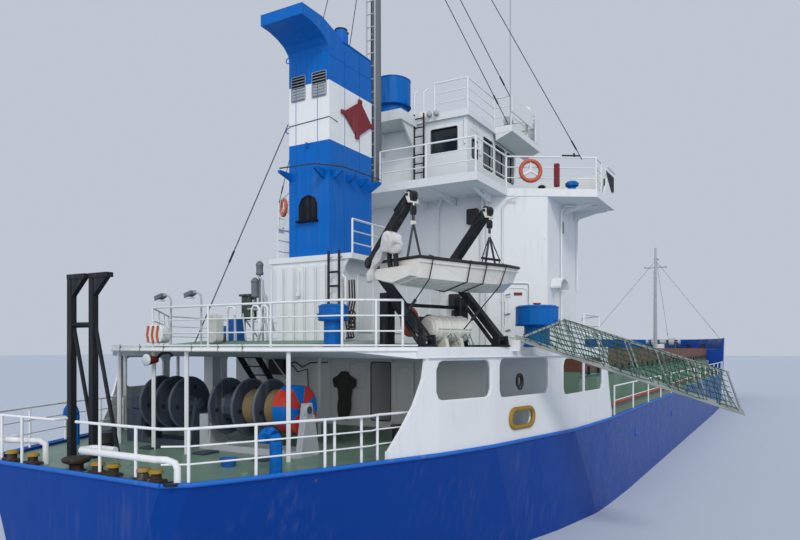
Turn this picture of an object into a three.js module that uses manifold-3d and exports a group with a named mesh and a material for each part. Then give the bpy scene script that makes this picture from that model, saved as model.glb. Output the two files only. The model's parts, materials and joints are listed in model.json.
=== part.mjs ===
// A small coastal cargo ship with its superstructure aft, as a 1:2 scale model: hull, poop, deckhouses,
// wheelhouse, funnel, masts, davits with a rescue boat, mooring winches, hatches, forecastle and stern gear.
//
// Every length in this file is a full-size metre. x runs forward from the transom, y to port, z up from
// the waterline. The helpers under "Geometry helpers" turn metres into model millimetres.
import * as THREE from "three";
import { mergeVertices } from "three/addons/utils/BufferGeometryUtils.js";
import Module from "manifold-3d";

const wasm = await Module();
wasm.setup();

// Driving dimensions

const SCALE = 0.5; // model size over full size
const MM = 1000 * SCALE; // model millimetres for one full-size metre
const SHIP_LENGTH = 75;
const AMIDSHIPS = SHIP_LENGTH / 2;
const GAP = 0.0006; // 0.3 mm on the model, between pieces that rest on each other
const CLEAR = 0.012; // 6 mm on the model, around a door's leaf
const ROUND = 1 / Math.cos(Math.PI / 12); // lets a twelve-sided pin turn in its bore

// Heights above the waterline.
const LEVEL = {
  keel: -3.8,
  deck: 2.8, // mooring deck and main deck
  gunwale: 2.87,
  boat: 5.2,
  bridge: 10.12,
  roof: 12.68,
  forecastle: 5.0,
  bulwark: 6.0,
};
const PLATE = { boat: 0.25, bridge: 0.24, roof: 0.22 }; // deck thicknesses

// Hull stations from aft forward. floor, bilge, side and deck are half-breadths with their heights.
const STATIONS = [
  //  x     keelZ  floorY bilgeY bilgeZ sideY sideZ deckY
  [-0.12, 0.3, 0.3, 1.2, 0.55, 1.95, 1.3, 2.62],
  [0.2, 0.22, 0.34, 1.4, 0.5, 2.3, 1.3, 3.0],
  [1.2, 0.05, 0.4, 1.7, 0.35, 2.8, 1.2, 3.5],
  [2.5, -0.25, 0.35, 1.9, 0.0, 3.4, 1.0, 4.1],
  [4.0, -0.5, 0.25, 2.0, -0.2, 4.0, 0.8, 4.7],
  [5.2, -0.7, 0.2, 2.1, -0.4, 4.4, 0.6, 5.2],
  [5.7, -3.3, 0.14, 0.5, -1.3, 4.5, 0.4, 5.36],
  [7.1, -3.5, 0.2, 1.3, -2.0, 5.0, 0.2, 5.75],
  [8.9, -3.65, 0.3, 2.5, -2.5, 5.6, 0.0, 6.08],
  [11.1, -3.75, 0.8, 3.7, -2.9, 6.1, -0.5, 6.52],
  [14.6, LEVEL.keel, 2.0, 5.0, -3.3, 6.6, -1.4, 6.7],
  [20.0, LEVEL.keel, 4.5, 6.0, -3.4, 6.7, -2.5, 6.7],
  [30.0, LEVEL.keel, 5.7, 6.4, -3.5, 6.7, -2.9, 6.7],
  [50.0, LEVEL.keel, 5.7, 6.4, -3.5, 6.7, -2.9, 6.7],
  [57.0, LEVEL.keel, 4.2, 5.9, -3.3, 6.6, -2.2, 6.7],
  [63.0, LEVEL.keel, 2.0, 4.2, -3.0, 5.6, -1.2, 6.35],
  [68.0, LEVEL.keel, 0.8, 2.3, -2.8, 3.7, -0.8, 5.1],
  [71.0, -3.7, 0.3, 1.1, -2.6, 2.1, -0.5, 3.5],
  [72.6, -3.0, 0.12, 0.4, -2.2, 1.1, -0.2, 2.25],
  [73.5, -0.6, 0.08, 0.2, 0.0, 0.6, 1.2, 1.35],
  [74.3, 2.2, 0.04, 0.06, 2.3, 0.1, 2.5, 0.2],
];

// The edge of the deck in plan, read off the hull stations.
const DECK_EDGE = STATIONS.map((s) => [s[0], s[7]]);

const POOP = { aft: 3.94, fore: 15.0, foreTop: 14.4, shell: 0.08, front: 15.7 };
const AWNING = { aft: 2.65, half: 2.3, corner: 4.6, thick: 0.09, fore: [3.7, 4.6] };
const LOWER_HOUSE = { aft: 9.2, half: 4.6 };
const HINGE = { out: 0.03, radius: 0.026, length: 0.16, heights: [0.3, 1.35], strap: 0.2 };
const AFT_DOOR = { y: -1.25, width: 0.7, height: 1.75, sill: 0.2, recess: 1.3 };
const STAIR = { head: 6.65, foot: 8.95, y: [1.65, 2.35], well: [6.6, 8.35] };
const CROWN = { height: 0.17, aft: 3.3, full: 5.85, half: 2.7 }; // camber of the boat deck's middle

// The upper deckhouse is cut away aft on each side by a slanting wall with a door in it.
const UPPER_HOUSE = { aft: 11.4, aftHalf: 3.65, shoulder: 12.45, half: 5.3, port: 5.1 };
const SLANT_DOOR = { along: 0.98, width: 0.75, height: 1.75, sill: 0.2, leaf: 0.05, recess: 0.12 };

// Bridge deck in plan, from the aft corner forward, on each side.
const BRIDGE = {
  starboard: [[9.4, -4.25], [11.75, -4.25], [13.3, -6.62], [15.7, -6.62]],
  port: [[9.4, 2.4], [11.75, 4.25], [13.3, 6.3], [15.7, 6.3]],
};
const WHEELHOUSE = { aft: 11.4, front: 15.7, half: 3.05, wall: 0.1 };
const WINDOW = { sill: 11.15, head: 12.15, aft: [11.43, 12.2] };
const SIDE_DOOR = { x: 11.98, width: 0.72, height: 1.85, leaf: 0.05 };
const ROOF = { aft: 11.3, half: 3.15, step: 13.5, wingHalf: 3.75, front: 16.4 };

const CASING = { aft: 5.9, fore: 11.3, starboard: -2.12, port: -0.02, roof: 7.54, walk: [-2.45, 0.22] };
const FUNNEL = { aft: 5.92, fore: 7.91, starboard: -1.72, port: -0.42, top: 13.15 };
const LADDER_Y = [-1.83, -2.15]; // sides of the casing's ladder
const COWL = { start: 12.7, rise: 0.48, reach: 1.1, top: 13.45 };

const MAIN_MAST = { x: 9.8, y: -0.7, radius: 0.155, top: 22.5, yard: 19.2 };
const RADAR = { ahead: 1.15, half: 0.9, shelf: 17.0 };
const FOREMAST = { x: 64.4, radius: 0.18, top: 15.3 };

// The davits and the boat stand in a frame of their own, turned bow outboard along the deck edge:
// its origin is under the boat's transom, forward runs along the boat and inboard is to port.
const BOAT_FRAME = { x: 4.1, y: -4.65, turn: THREE.MathUtils.degToRad(-18) };
const DAVIT = {
  stations: [0.65, 3.15], // along the boat
  footAhead: 0.4, // how far ahead of the arm its foot stands
  foot: [0.04, 5.38], // inboard offset and height of the hinge
  heel: [1.45, 7.13],
  tip: [0.1, 8.47],
  pin: 0.035,
  size: 0.17,
};

const WINCH_ROW = { x: 3.8, axis: 3.82, flange: 0.65, brake: 0.52, barrel: 0.32, shaft: 0.09 };
const HATCH = { aft: 17.2, fore: 60.8, half: 5.0, coaming: 4.25, cover: 5.05, covers: 4 };
const RUDDER = { stock: 3.5, aft: 2.3, fore: 4.0, top: -0.75, bottom: -3.4, thick: 0.3, trunk: -0.55 };
const PROPELLER = { x: 4.8, z: -2.2, radius: 1.2, boss: 0.22, blades: 4 };
const GANGWAY = { hinge: [8.25, -5.88], height: 5.42, length: 5.5, slope: 0.325, turn: 0.35, half: 0.3 };
const RAIL = { post: 0.03, top: 0.028, middle: 0.018, height: 1.0 };

// Colours as sRGB hex, with roughness and metalness.
const material = (color, roughness, metalness = 0) =>
  new THREE.MeshStandardMaterial({ color, roughness, metalness });
const PAINT = {
  hull: material(0x0049a8, 0.45),
  white: material(0xe4e7ea, 0.5),
  funnel: material(0x0a62b4, 0.45),
  green: material(0x7d9a8a, 0.7),
  slate: material(0x3c4452, 0.5),
  black: material(0x23262b, 0.5),
  grey: material(0x9aa2aa, 0.55),
  cover: material(0x6d4a3e, 0.65),
  boat: material(0xe9e9e4, 0.35),
  rope: material(0x2f6b4f, 0.8),
  bronze: material(0xa8843f, 0.35, 1),
  rust: material(0x7a3128, 0.6),
};

// Geometry helpers

const part = new THREE.Group();

const toModel = ([x, y, z]) => new THREE.Vector3((x - AMIDSHIPS) * MM, y * MM, z * MM);

function solid(geometry) {
  const plain = geometry.index ? geometry.toNonIndexed() : geometry.clone();
  plain.deleteAttribute("normal");
  plain.deleteAttribute("uv");
  const merged = mergeVertices(plain, 1e-3);
  const triVerts = new Uint32Array(merged.index.array);
  const vertProperties = merged.attributes.position.array;
  return new wasm.Manifold(new wasm.Mesh({ numProp: 3, vertProperties, triVerts }));
}

const union = (pieces) => pieces.reduce((whole, piece) => whole.add(piece));
const cut = (whole, pieces) => pieces.reduce((rest, piece) => rest.subtract(piece), whole);

// Adds a solid to the ship as one named mesh.
function addPiece(name, paint, shape) {
  const { vertProperties, triVerts } = shape.getMesh();
  const geometry = new THREE.BufferGeometry();
  geometry.setAttribute("position", new THREE.BufferAttribute(vertProperties, 3));
  geometry.setIndex(new THREE.BufferAttribute(triVerts, 1));
  geometry.computeVertexNormals();
  const mesh = new THREE.Mesh(geometry, paint);
  mesh.name = name;
  part.add(mesh);
}

// A box from its limits along x, y and z.
function box([x0, x1], [y0, y1], [z0, z1]) {
  const size = [x1 - x0, y1 - y0, z1 - z0].map((length) => length * MM);
  const centre = toModel([(x0 + x1) / 2, (y0 + y1) / 2, (z0 + z1) / 2]);
  return solid(new THREE.BoxGeometry(...size).translate(centre.x, centre.y, centre.z));
}

// How each extrusion direction places an outline's two coordinates and its depth.
const EXTRUSIONS = {
  x: (u, v, depth) => [depth, u, v],
  y: (u, v, depth) => [u, -depth, v],
  z: (u, v, depth) => [u, v, depth],
};

// An outline of two coordinates, extruded along the third from one value to another.
function prism(outline, axis, [from, to]) {
  const shape = new THREE.Shape(outline.map(([u, v]) => new THREE.Vector2(u, v)));
  const geometry = new THREE.ExtrudeGeometry(shape, { depth: to - from, bevelEnabled: false });
  const corners = geometry.attributes.position;
  const start = axis === "y" ? -to : from;
  for (let i = 0; i < corners.count; i++) {
    const at = EXTRUSIONS[axis](corners.getX(i), corners.getY(i), start + corners.getZ(i));
    const point = toModel(at);
    corners.setXYZ(i, point.x, point.y, point.z);
  }
  return solid(geometry);
}

// A round or many-sided bar between two points.
function rod(from, to, radius, sides = 6, endRadius = radius) {
  const start = toModel(from);
  const span = toModel(to).sub(start);
  const length = span.length();
  const geometry = new THREE.CylinderGeometry(endRadius * MM, radius * MM, length, sides);
  geometry.translate(0, length / 2, 0);
  const turn = new THREE.Quaternion();
  turn.setFromUnitVectors(new THREE.Vector3(0, 1, 0), span.normalize());
  geometry.applyQuaternion(turn);
  geometry.translate(start.x, start.y, start.z);
  return solid(geometry);
}

// Bars from point to point.
function pipe(points, radius, sides = 6) {
  return union(points.slice(1).map((point, i) => rod(points[i], point, radius, sides)));
}

// A body of revolution about a vertical line, from [radius, z] pairs that start and end at radius 0.
function turned([x, y], profile, sides = 20) {
  const points = profile.map(([radius, z]) => new THREE.Vector2(radius * MM, z * MM));
  const geometry = new THREE.LatheGeometry(points, sides);
  geometry.rotateX(Math.PI / 2);
  const centre = toModel([x, y, 0]);
  geometry.translate(centre.x, centre.y, 0);
  return solid(geometry);
}

// A skin over closed sections of equal point counts, with flat ends.
function loft(sections) {
  const points = sections.flat().map(toModel);
  const count = sections[0].length;
  const corner = (section, i) => section * count + (i % count);
  const faces = [];
  for (let s = 0; s + 1 < sections.length; s++) {
    for (let i = 0; i < count; i++) {
      faces.push([corner(s, i), corner(s, i + 1), corner(s + 1, i + 1)]);
      faces.push([corner(s, i), corner(s + 1, i + 1), corner(s + 1, i)]);
    }
  }
  const last = sections.length - 1;
  for (let i = 1; i + 1 < count; i++) {
    faces.push([corner(0, 0), corner(0, i + 1), corner(0, i)]);
    faces.push([corner(last, 0), corner(last, i), corner(last, i + 1)]);
  }
  const corners = faces.flat().flatMap((i) => points[i].toArray());
  const geometry = new THREE.BufferGeometry();
  geometry.setAttribute("position", new THREE.Float32BufferAttribute(corners, 3));
  return solid(geometry);
}

// Mirrors [x, y] points about the centreline, to close an outline whose starboard half is given.
const mirrored = (half) => [...half, ...half.map(([x, y]) => [x, -y]).reverse()];

// The deck's half-breadth at x.
function edgeAt(x) {
  const next = Math.max(1, DECK_EDGE.findIndex(([station]) => station >= x));
  const [x0, y0] = DECK_EDGE[next - 1];
  const [x1, y1] = DECK_EDGE[next];
  return y0 + ((y1 - y0) * (x - x0)) / (x1 - x0);
}

// The starboard deck edge between two x positions, drawn in by an inset.
function edgeRun(from, to, inset) {
  const inside = DECK_EDGE.map(([x]) => x).filter((x) => x > from && x < to);
  return [from, ...inside, to].map((x) => [x, inset - edgeAt(x)]);
}

// Guard rails along a path of [x, y] points: posts, a top rail and two lower rails.
function railing(path, floor, options = {}) {
  const { height = RAIL.height, spacing = 1.5, closed = false, middles = [0.34, 0.67] } = options;
  const ring = closed ? [...path, path[0]] : path;
  const pieces = [];
  for (let i = 0; i + 1 < ring.length; i++) {
    const [[x0, y0], [x1, y1]] = [ring[i], ring[i + 1]];
    const bays = Math.max(1, Math.round(Math.hypot(x1 - x0, y1 - y0) / spacing));
    for (let bay = i === 0 && !closed ? 0 : 1; bay <= bays; bay++) {
      const [x, y] = [x0 + ((x1 - x0) * bay) / bays, y0 + ((y1 - y0) * bay) / bays];
      pieces.push(rod([x, y, floor], [x, y, floor + height], RAIL.post, 4));
    }
    pieces.push(rod([x0, y0, floor + height], [x1, y1, floor + height], RAIL.top, 4));
    for (const share of middles) {
      const z = floor + height * share;
      pieces.push(rod([x0, y0, z], [x1, y1, z], RAIL.middle, 4));
    }
  }
  return union(pieces);
}

// A point of the boat's frame: along the boat, inboard of its middle, and its height.
function fromBoat([along, inboard, z]) {
  const [c, s] = [Math.cos(BOAT_FRAME.turn), Math.sin(BOAT_FRAME.turn)];
  return [BOAT_FRAME.x + along * c - inboard * s, BOAT_FRAME.y + along * s + inboard * c, z];
}

// Hull and forecastle

function addHull() {
  const sections = STATIONS.map(([x, keelZ, floorY, bilgeY, bilgeZ, sideY, sideZ, deckY]) => {
    const half = [
      [floorY, keelZ],
      [bilgeY, bilgeZ],
      [sideY, sideZ],
      [deckY, LEVEL.gunwale],
    ];
    const port = half.map(([y, z]) => [x, y, z]);
    const starboard = half.map(([y, z]) => [x, -y, z]).reverse();
    return [...port, ...starboard];
  });
  const well = mirrored([[0.0, -2.5], ...edgeRun(0.3, 61.4, 0.14)]);
  const shaft = rod([5.4, 0, PROPELLER.z], [5.9, 0, PROPELLER.z], 0.26, 12);
  const trunk = rod([RUDDER.stock, 0, RUDDER.trunk], [RUDDER.stock, 0, 0.2], 0.22, 12);
  const body = cut(loft(sections), [prism(well, "z", [LEVEL.deck, 3.2])]);
  addPiece("hull", PAINT.hull, union([body, shaft, trunk]));
}

// Forecastle stations: x, foot height, and half-breadths at the foot and at the bulwark's top.
const BOW_STATIONS = [
  [61.5, LEVEL.gunwale, 6.42, 6.5],
  [63.0, LEVEL.gunwale, 6.35, 6.45],
  [66.0, LEVEL.gunwale, 5.6, 6.0],
  [68.0, LEVEL.gunwale, 5.1, 5.6],
  [71.0, LEVEL.gunwale, 3.5, 4.4],
  [72.6, LEVEL.gunwale, 2.25, 3.4],
  [73.5, LEVEL.gunwale, 1.35, 2.6],
  [74.3, LEVEL.gunwale, 0.2, 1.6],
  [75.0, 5.6, 0.05, 0.3],
];

const ANCHOR_SEAT = 4.3; // y of the bolsters' faces, where the anchors lie
const BULWARK_PLATE = 0.12; // thickness of the forecastle's bulwark

function addForecastle() {
  const sections = BOW_STATIONS.map(([x, foot, footHalf, topHalf]) => [
    [x, footHalf, foot + GAP],
    [x, topHalf, LEVEL.bulwark],
    [x, -topHalf, LEVEL.bulwark],
    [x, -footHalf, foot + GAP],
  ]);
  // The space above the deck follows the flare, so the bulwark keeps its thickness, and it is open aft.
  const inside = BOW_STATIONS.slice(0, -1).map(([x, foot, footHalf, topHalf], station) => {
    const flare = (topHalf - footHalf) / (LEVEL.bulwark - foot);
    const half = (z) => footHalf + flare * (z - foot) - BULWARK_PLATE;
    const [floor, over] = [LEVEL.forecastle, LEVEL.bulwark + 1];
    const along = station === 0 ? x - 0.5 : x;
    return [
      [along, half(floor), floor],
      [along, half(over), over],
      [along, -half(over), over],
      [along, -half(floor), floor],
    ];
  });
  const bolsters = [-1, 1].map((sign) => {
    const across = [sign * 3.6, sign * ANCHOR_SEAT].sort((a, b) => a - b);
    return box([70.05, 70.85], across, [3.3, 4.2]);
  });
  addPiece("forecastle", PAINT.hull, cut(union([loft(sections), ...bolsters]), [loft(inside)]));
}

// Windlass with two chain gypsies, an anchor each side and the foremast.
function addBowGear() {
  const floor = LEVEL.forecastle + GAP;
  const axis = floor + 0.75;
  const cheek = [[68.6, floor], [69.6, floor], [69.25, axis + 0.2], [68.95, axis + 0.2]];
  const cheeks = [-1.3, -0.45, 0.45, 1.3].map((y) => prism(cheek, "y", [y - 0.06, y + 0.06]));
  const bed = box([68.5, 69.7], [-1.5, 1.5], [floor, floor + 0.12]);
  const bore = rod([69.1, -2, axis], [69.1, 2, axis], 0.075 * ROUND + GAP, 12);
  addPiece("windlass_frame", PAINT.slate, cut(union([bed, ...cheeks]), [bore]));
  const shaft = rod([69.1, -1.75, axis], [69.1, 1.75, axis], 0.075, 12);
  const wheels = [
    //  y      half width  radius
    [-1.62, 0.12, 0.24],
    [-0.88, 0.26, 0.42],
    [0, 0.3, 0.3],
    [0.88, 0.26, 0.42],
    [1.62, 0.12, 0.24],
  ].map(([y, half, radius]) => rod([69.1, y - half, axis], [69.1, y + half, axis], radius, 16));
  addPiece("windlass_barrels", PAINT.grey, union([shaft, ...wheels]));

  for (const [side, sign] of [["starboard", -1], ["port", 1]]) {
    const skin = sign * (ANCHOR_SEAT + GAP);
    const shank = box([70.35, 70.55], [skin, skin + sign * 0.16].sort((a, b) => a - b), [2.2, 3.9]);
    const crown = box([69.9, 71.0], [skin, skin + sign * 0.3].sort((a, b) => a - b), [1.9, 2.25]);
    const flukes = [69.95, 70.75].map((x) =>
      box([x, x + 0.2], [skin, skin + sign * 0.2].sort((a, b) => a - b), [2.2, 2.9]),
    );
    addPiece(`anchor_${side}`, PAINT.black, union([shank, crown, ...flukes]));
  }

  const { x, radius, top } = FOREMAST;
  const mast = rod([x, 0, floor], [x, 0, top], radius, 10, radius * 0.6);
  const yard = rod([x, -1.1, top - 2], [x, 1.1, top - 2], 0.06);
  const lampArm = box([x, x + 0.7], [-0.2, 0.2], [top - 1.2, top - 1.1]);
  const foot = box([x - 0.35, x + 0.35], [-0.35, 0.35], [floor, floor + 0.1]);
  addPiece("foremast", PAINT.grey, union([mast, yard, lampArm, foot]));
}

// Cargo hatch

function addHatch() {
  const { aft, fore, half, coaming, cover, covers } = HATCH;
  const floor = LEVEL.deck + GAP;
  const ribs = [];
  for (let x = aft + 1.2; x < fore; x += 3.2) {
    ribs.push(box([x, x + 0.08], [-half - 0.35, half + 0.35], [floor, coaming - 0.25]));
  }
  const walls = box([aft, fore], [-half, half], [floor, coaming]);
  addPiece("hatch_coaming", PAINT.green, union([walls, ...ribs]));
  const length = (fore - aft) / covers;
  for (let i = 0; i < covers; i++) {
    const x = aft + i * length;
    const lid = box([x + 0.03, x + length - 0.03], [-half - 0.1, half + 0.1], [coaming + GAP, cover]);
    addPiece(`hatch_cover_${i + 1}`, PAINT.cover, lid);
  }
}

// Poop: side shells, lower deckhouse, boat deck

// Openings in each side shell: x and z limits.
const SHELL_OPENINGS = [
  { x: [5.14, 6.98], z: [4.0, 4.92] },
  { x: [7.29, 9.74], z: [3.95, 4.95] },
  { x: [10.5, 13.95], z: [3.85, 4.9] },
  { x: [7.75, 8.85], z: [3.2, 3.65] }, // mooring port
];

function addShell(side, sign) {
  const top = LEVEL.boat - PLATE.boat - GAP;
  const outer = edgeRun(POOP.aft, POOP.fore, 0.02);
  const inner = edgeRun(POOP.aft, POOP.fore, 0.02 + POOP.shell).reverse();
  const plan = [...outer, ...inner].map(([x, y]) => [x, sign * -y]);
  const outline = sign > 0 ? plan.reverse() : plan;
  const wall = prism(outline, "z", [LEVEL.gunwale + GAP, top]);
  const across = sign > 0 ? [2, 8] : [-8, -2];
  const openings = SHELL_OPENINGS.map(({ x, z }) => prism(roundedRectangle(x, z, 0.22), "y", across));
  const aftEdge = sweptEdge([POOP.aft - 0.1, LEVEL.gunwale], [4.9, top + 0.1], -1);
  const foreEdge = sweptEdge([POOP.fore + 0.1, LEVEL.gunwale], [POOP.foreTop, top + 0.1], 1);
  const [aftCurve, foreCurve] = [aftEdge, foreEdge].map((edge) => prism(edge, "y", across));
  addPiece(`poop_shell_${side}`, PAINT.white, cut(wall, [...openings, aftCurve, foreCurve]));
}

// A rectangle in x and z with rounded corners.
function roundedRectangle([x0, x1], [z0, z1], radius) {
  const corners = [
    [x1 - radius, z1 - radius, 0],
    [x0 + radius, z1 - radius, 1],
    [x0 + radius, z0 + radius, 2],
    [x1 - radius, z0 + radius, 3],
  ];
  return corners.flatMap(([x, z, quarter]) =>
    [0, 0.5, 1].map((step) => {
      const angle = ((quarter + step) * Math.PI) / 2;
      return [x + radius * Math.cos(angle), z + radius * Math.sin(angle)];
    }),
  );
}

// The area beyond a hollow curve that sweeps up from a foot to a head, on the aft (-1) or fore (1) side.
function sweptEdge([footX, footZ], [headX, headZ], side) {
  const curve = [0.08, 0.25, 0.5, 0.75, 1].map((t) => {
    const bow = Math.sin((t * Math.PI) / 2);
    return [footX + (headX - footX) * bow, footZ + (headZ - footZ) * t];
  });
  const beyond = [
    [footX + side * 1.5, headZ],
    [footX + side * 1.5, curve[0][1]],
  ];
  const area = [...curve, ...beyond];
  return side < 0 ? area : area.reverse();
}

function addLowerHouse() {
  const { aft, half } = LOWER_HOUSE;
  const block = box([aft, POOP.front], [-half, half], [LEVEL.deck + GAP, LEVEL.boat - PLATE.boat - GAP]);
  const { y, width, height, sill, recess } = AFT_DOOR;
  const foot = LEVEL.deck + sill;
  const doorway = [y - width / 2, y + width / 2];
  const around = [y - width / 2 - 0.06, y + width / 2 + 0.06];
  const lobby = box([aft - 0.1, aft + recess], doorway, [foot, foot + height]);
  const frame = box([aft - 0.05, aft + 0.02], around, [foot - 0.06, foot + height + 0.06]);
  addPiece("lower_deckhouse", PAINT.white, cut(union([block, frame]), [lobby]));
  const hinge = y - width / 2 - 0.1;
  const [outer, inner] = [aft - 0.115, aft - 0.065];
  const panel = box([outer, inner], [hinge - width, hinge], [foot, foot + height]);
  const lugs = [0.3, 1.4].map((z) =>
    box([outer, aft - GAP], [hinge - 0.04, hinge], [foot + z, foot + z + 0.12]),
  );
  addPiece("aft_door", PAINT.white, union([panel, ...lugs]));
}

function addBoatDeck() {
  const half = [
    [AWNING.aft, -AWNING.half],
    ...edgeRun(AWNING.corner, POOP.foreTop, 0.0),
    [POOP.front, -UPPER_HOUSE.half - 0.15],
  ];
  const plate = prism(mirrored(half), "z", [LEVEL.boat - PLATE.boat, LEVEL.boat]);
  const fore = UPPER_HOUSE.aft - GAP;
  const top = LEVEL.boat + CROWN.height;
  const profile = [[CROWN.aft, LEVEL.boat - 0.05], [fore, LEVEL.boat - 0.05], [fore, top], [CROWN.full, top]];
  const crown = prism(profile, "y", [-CROWN.half, CROWN.half]);
  const well = box(STAIR.well, [STAIR.y[0] - 0.06, STAIR.y[1] + 0.06], [4.5, 6]);
  const under = LEVEL.boat - PLATE.boat;
  const lip = LEVEL.boat - AWNING.thick;
  const [thin, full] = AWNING.fore; // the deck thickens between these
  const below = [[2, under - 0.2], [full, under - 0.2], [full, under], [thin, lip], [2, lip]];
  const wedge = prism(below, "y", [-8, 8]);
  const awningPosts = [
    [2.87, 1.14],
    [2.74, -0.1],
    [3.06, -2.76],
    [3.06, 2.62],
    [4.95, 4.85],
    [7.2, 5.2],
    [6.6, -0.9],
  ].map(([x, y]) => rod([x, y, LEVEL.deck + GAP], [x, y, LEVEL.boat - 0.05], 0.05));
  const trunk = box([6.5, 6.8], [2.95, 3.3], [LEVEL.deck + GAP, LEVEL.boat - 0.1]);
  const deck = cut(union([plate, crown]), [well, wedge]);
  addPiece("boat_deck", PAINT.green, union([deck, trunk, ...awningPosts, ...gangwaySeat()]));
}

function addStair() {
  const { head, foot } = STAIR;
  const [y0, y1] = STAIR.y;
  const [z0, z1] = [LEVEL.deck + GAP, LEVEL.boat - 0.02];
  const stringers = [y0, y1].map((y) =>
    prism([[foot - 0.25, z0], [foot, z0], [head + 0.25, z1], [head, z1]], "y", [y - 0.02, y + 0.02]),
  );
  const steps = [1, 2, 3, 4, 5, 6, 7, 8].map((i) => {
    const share = i / 9;
    const x = foot + (head + 0.25 - foot) * share;
    const z = z0 + (z1 - z0) * share;
    return box([x - 0.21, x - 0.02], [y0 - 0.005, y1 + 0.005], [z - 0.045, z - 0.015]);
  });
  addPiece("stair", PAINT.black, union([...stringers, ...steps]));
}

// Upper deckhouse, bridge deck and wheelhouse

const slantedPlan = ({ aft, aftHalf, shoulder, half }, front) =>
  mirrored([
    [aft, -aftHalf],
    [shoulder, -half],
    [front, -half],
  ]);

// A point on the starboard slanting wall: along it from its aft end, out of it, and a height.
function onSlant([along, out, z]) {
  const { aft, aftHalf, shoulder, half } = UPPER_HOUSE;
  const length = Math.hypot(shoulder - aft, half - aftHalf);
  const [ux, uy] = [(shoulder - aft) / length, -(half - aftHalf) / length];
  return [aft + along * ux + out * uy, -aftHalf + along * uy - out * ux, z];
}

// A block on the slanting wall of one side, from its limits along and out of the wall.
function slantBlock(sign, [a0, a1], [o0, o1], [z0, z1]) {
  const plan = [[a0, o0], [a0, o1], [a1, o1], [a1, o0]].map(([a, o]) => {
    const [x, y] = onSlant([a, o, 0]);
    return [x, -sign * y];
  });
  return prism(sign < 0 ? plan : plan.reverse(), "z", [z0, z1]);
}

function addUpperHouse() {
  const top = LEVEL.bridge - PLATE.bridge - GAP;
  const whole = prism(slantedPlan(UPPER_HOUSE, POOP.front), "z", [LEVEL.boat + GAP, top]);
  const shape = cut(whole, [box([11, 16], [UPPER_HOUSE.port, 6], [5, 10.5])]);
  const { along, width, height, sill, recess, leaf } = SLANT_DOOR;
  const foot = LEVEL.boat + sill;
  const jamb = along - width / 2;
  const slantPoint = (sign, a, o, z) => {
    const [x, y] = onSlant([a, o, 0]);
    return [x, -sign * y, z];
  };
  // Knuckles on the hinge line from a height up, with a strap that runs along the wall.
  const knuckles = (sign, lift, [s0, s1]) =>
    HINGE.heights.flatMap((z) => {
      const from = foot + z + lift;
      const to = from + HINGE.length;
      const [pinFoot, pinHead] = [from, to].map((height) => slantPoint(sign, jamb, HINGE.out, height));
      const strap = slantBlock(sign, [jamb + s0, jamb + s1], [-0.01, HINGE.out], [from, to]);
      return [rod(pinFoot, pinHead, HINGE.radius, 8), strap];
    });
  const doorway = (sign) => slantBlock(sign, [jamb, jamb + width], [-recess, 0.3], [foot, foot + height]);
  const below = -HINGE.length - GAP;
  const fixed = [-1, 1].flatMap((sign) => knuckles(sign, below, [-0.14, 0]));
  addPiece("upper_deckhouse", PAINT.white, union([cut(shape, [doorway(-1), doorway(1)]), ...fixed]));
  for (const [side, sign] of [["starboard", -1], ["port", 1]]) {
    const span = [jamb + CLEAR, jamb + width - CLEAR];
    const panel = slantBlock(sign, span, [-leaf, 0.0], [foot + CLEAR, foot + height - CLEAR]);
    addPiece(`house_door_${side}`, PAINT.white, union([panel, ...knuckles(sign, 0, [0.004, HINGE.strap])]));
  }
}

// Knees under the bridge deck's after overhang and under its wings, from a wall outwards.
function addBridgeDeck() {
  const { starboard, port } = BRIDGE;
  const [aft] = starboard[0];
  const under = LEVEL.bridge - PLATE.bridge;
  const plate = prism([...starboard, ...port.slice().reverse()], "z", [under, LEVEL.bridge]);
  const wall = UPPER_HOUSE.aft - GAP;
  const tip = aft + 0.15;
  const knee = [[tip, under], [wall, under - 0.25], [wall, under + 0.02], [tip, under + 0.02]];
  const afterKnees = [-3.82, -2.66, -1.66, 1.9].map((y) => prism(knee, "y", [y - 0.03, y + 0.03]));
  const wings = [
    // outer edge, house wall and the sign of its side
    [starboard[2][1], -UPPER_HOUSE.half - GAP, -1],
    [port[2][1], UPPER_HOUSE.port + GAP, 1],
  ];
  const wingKnees = wings.flatMap(([edge, inner, sign]) => {
    const end = edge - sign * 0.1;
    const outline = [[inner, under - 0.3], [end, under], [end, under + 0.02], [inner, under + 0.02]];
    const ring = sign > 0 ? outline : outline.reverse();
    return [14.1, 15.4].map((x) => prism(ring, "x", [x - 0.03, x + 0.03]));
  });
  const [low, high] = [LEVEL.bridge - 0.05, LEVEL.bridge + 1.0];
  const front = WHEELHOUSE.front;
  const rake = [[14.1, low], [front, low], [front, high], [14.6, high], [14.6, low + 0.5]];
  const screens = wings.flatMap(([edge, , sign]) => {
    const side = [edge, edge - sign * 0.06].sort((a, b) => a - b);
    const across = [edge - sign * 0.02, sign * (WHEELHOUSE.half + 0.1)].sort((a, b) => a - b);
    return [prism(rake, "y", side), box([front - 0.06, front], across, [low, high])];
  });
  addPiece("bridge_deck", PAINT.white, union([plate, ...afterKnees, ...wingKnees, ...screens]));
}

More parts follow.
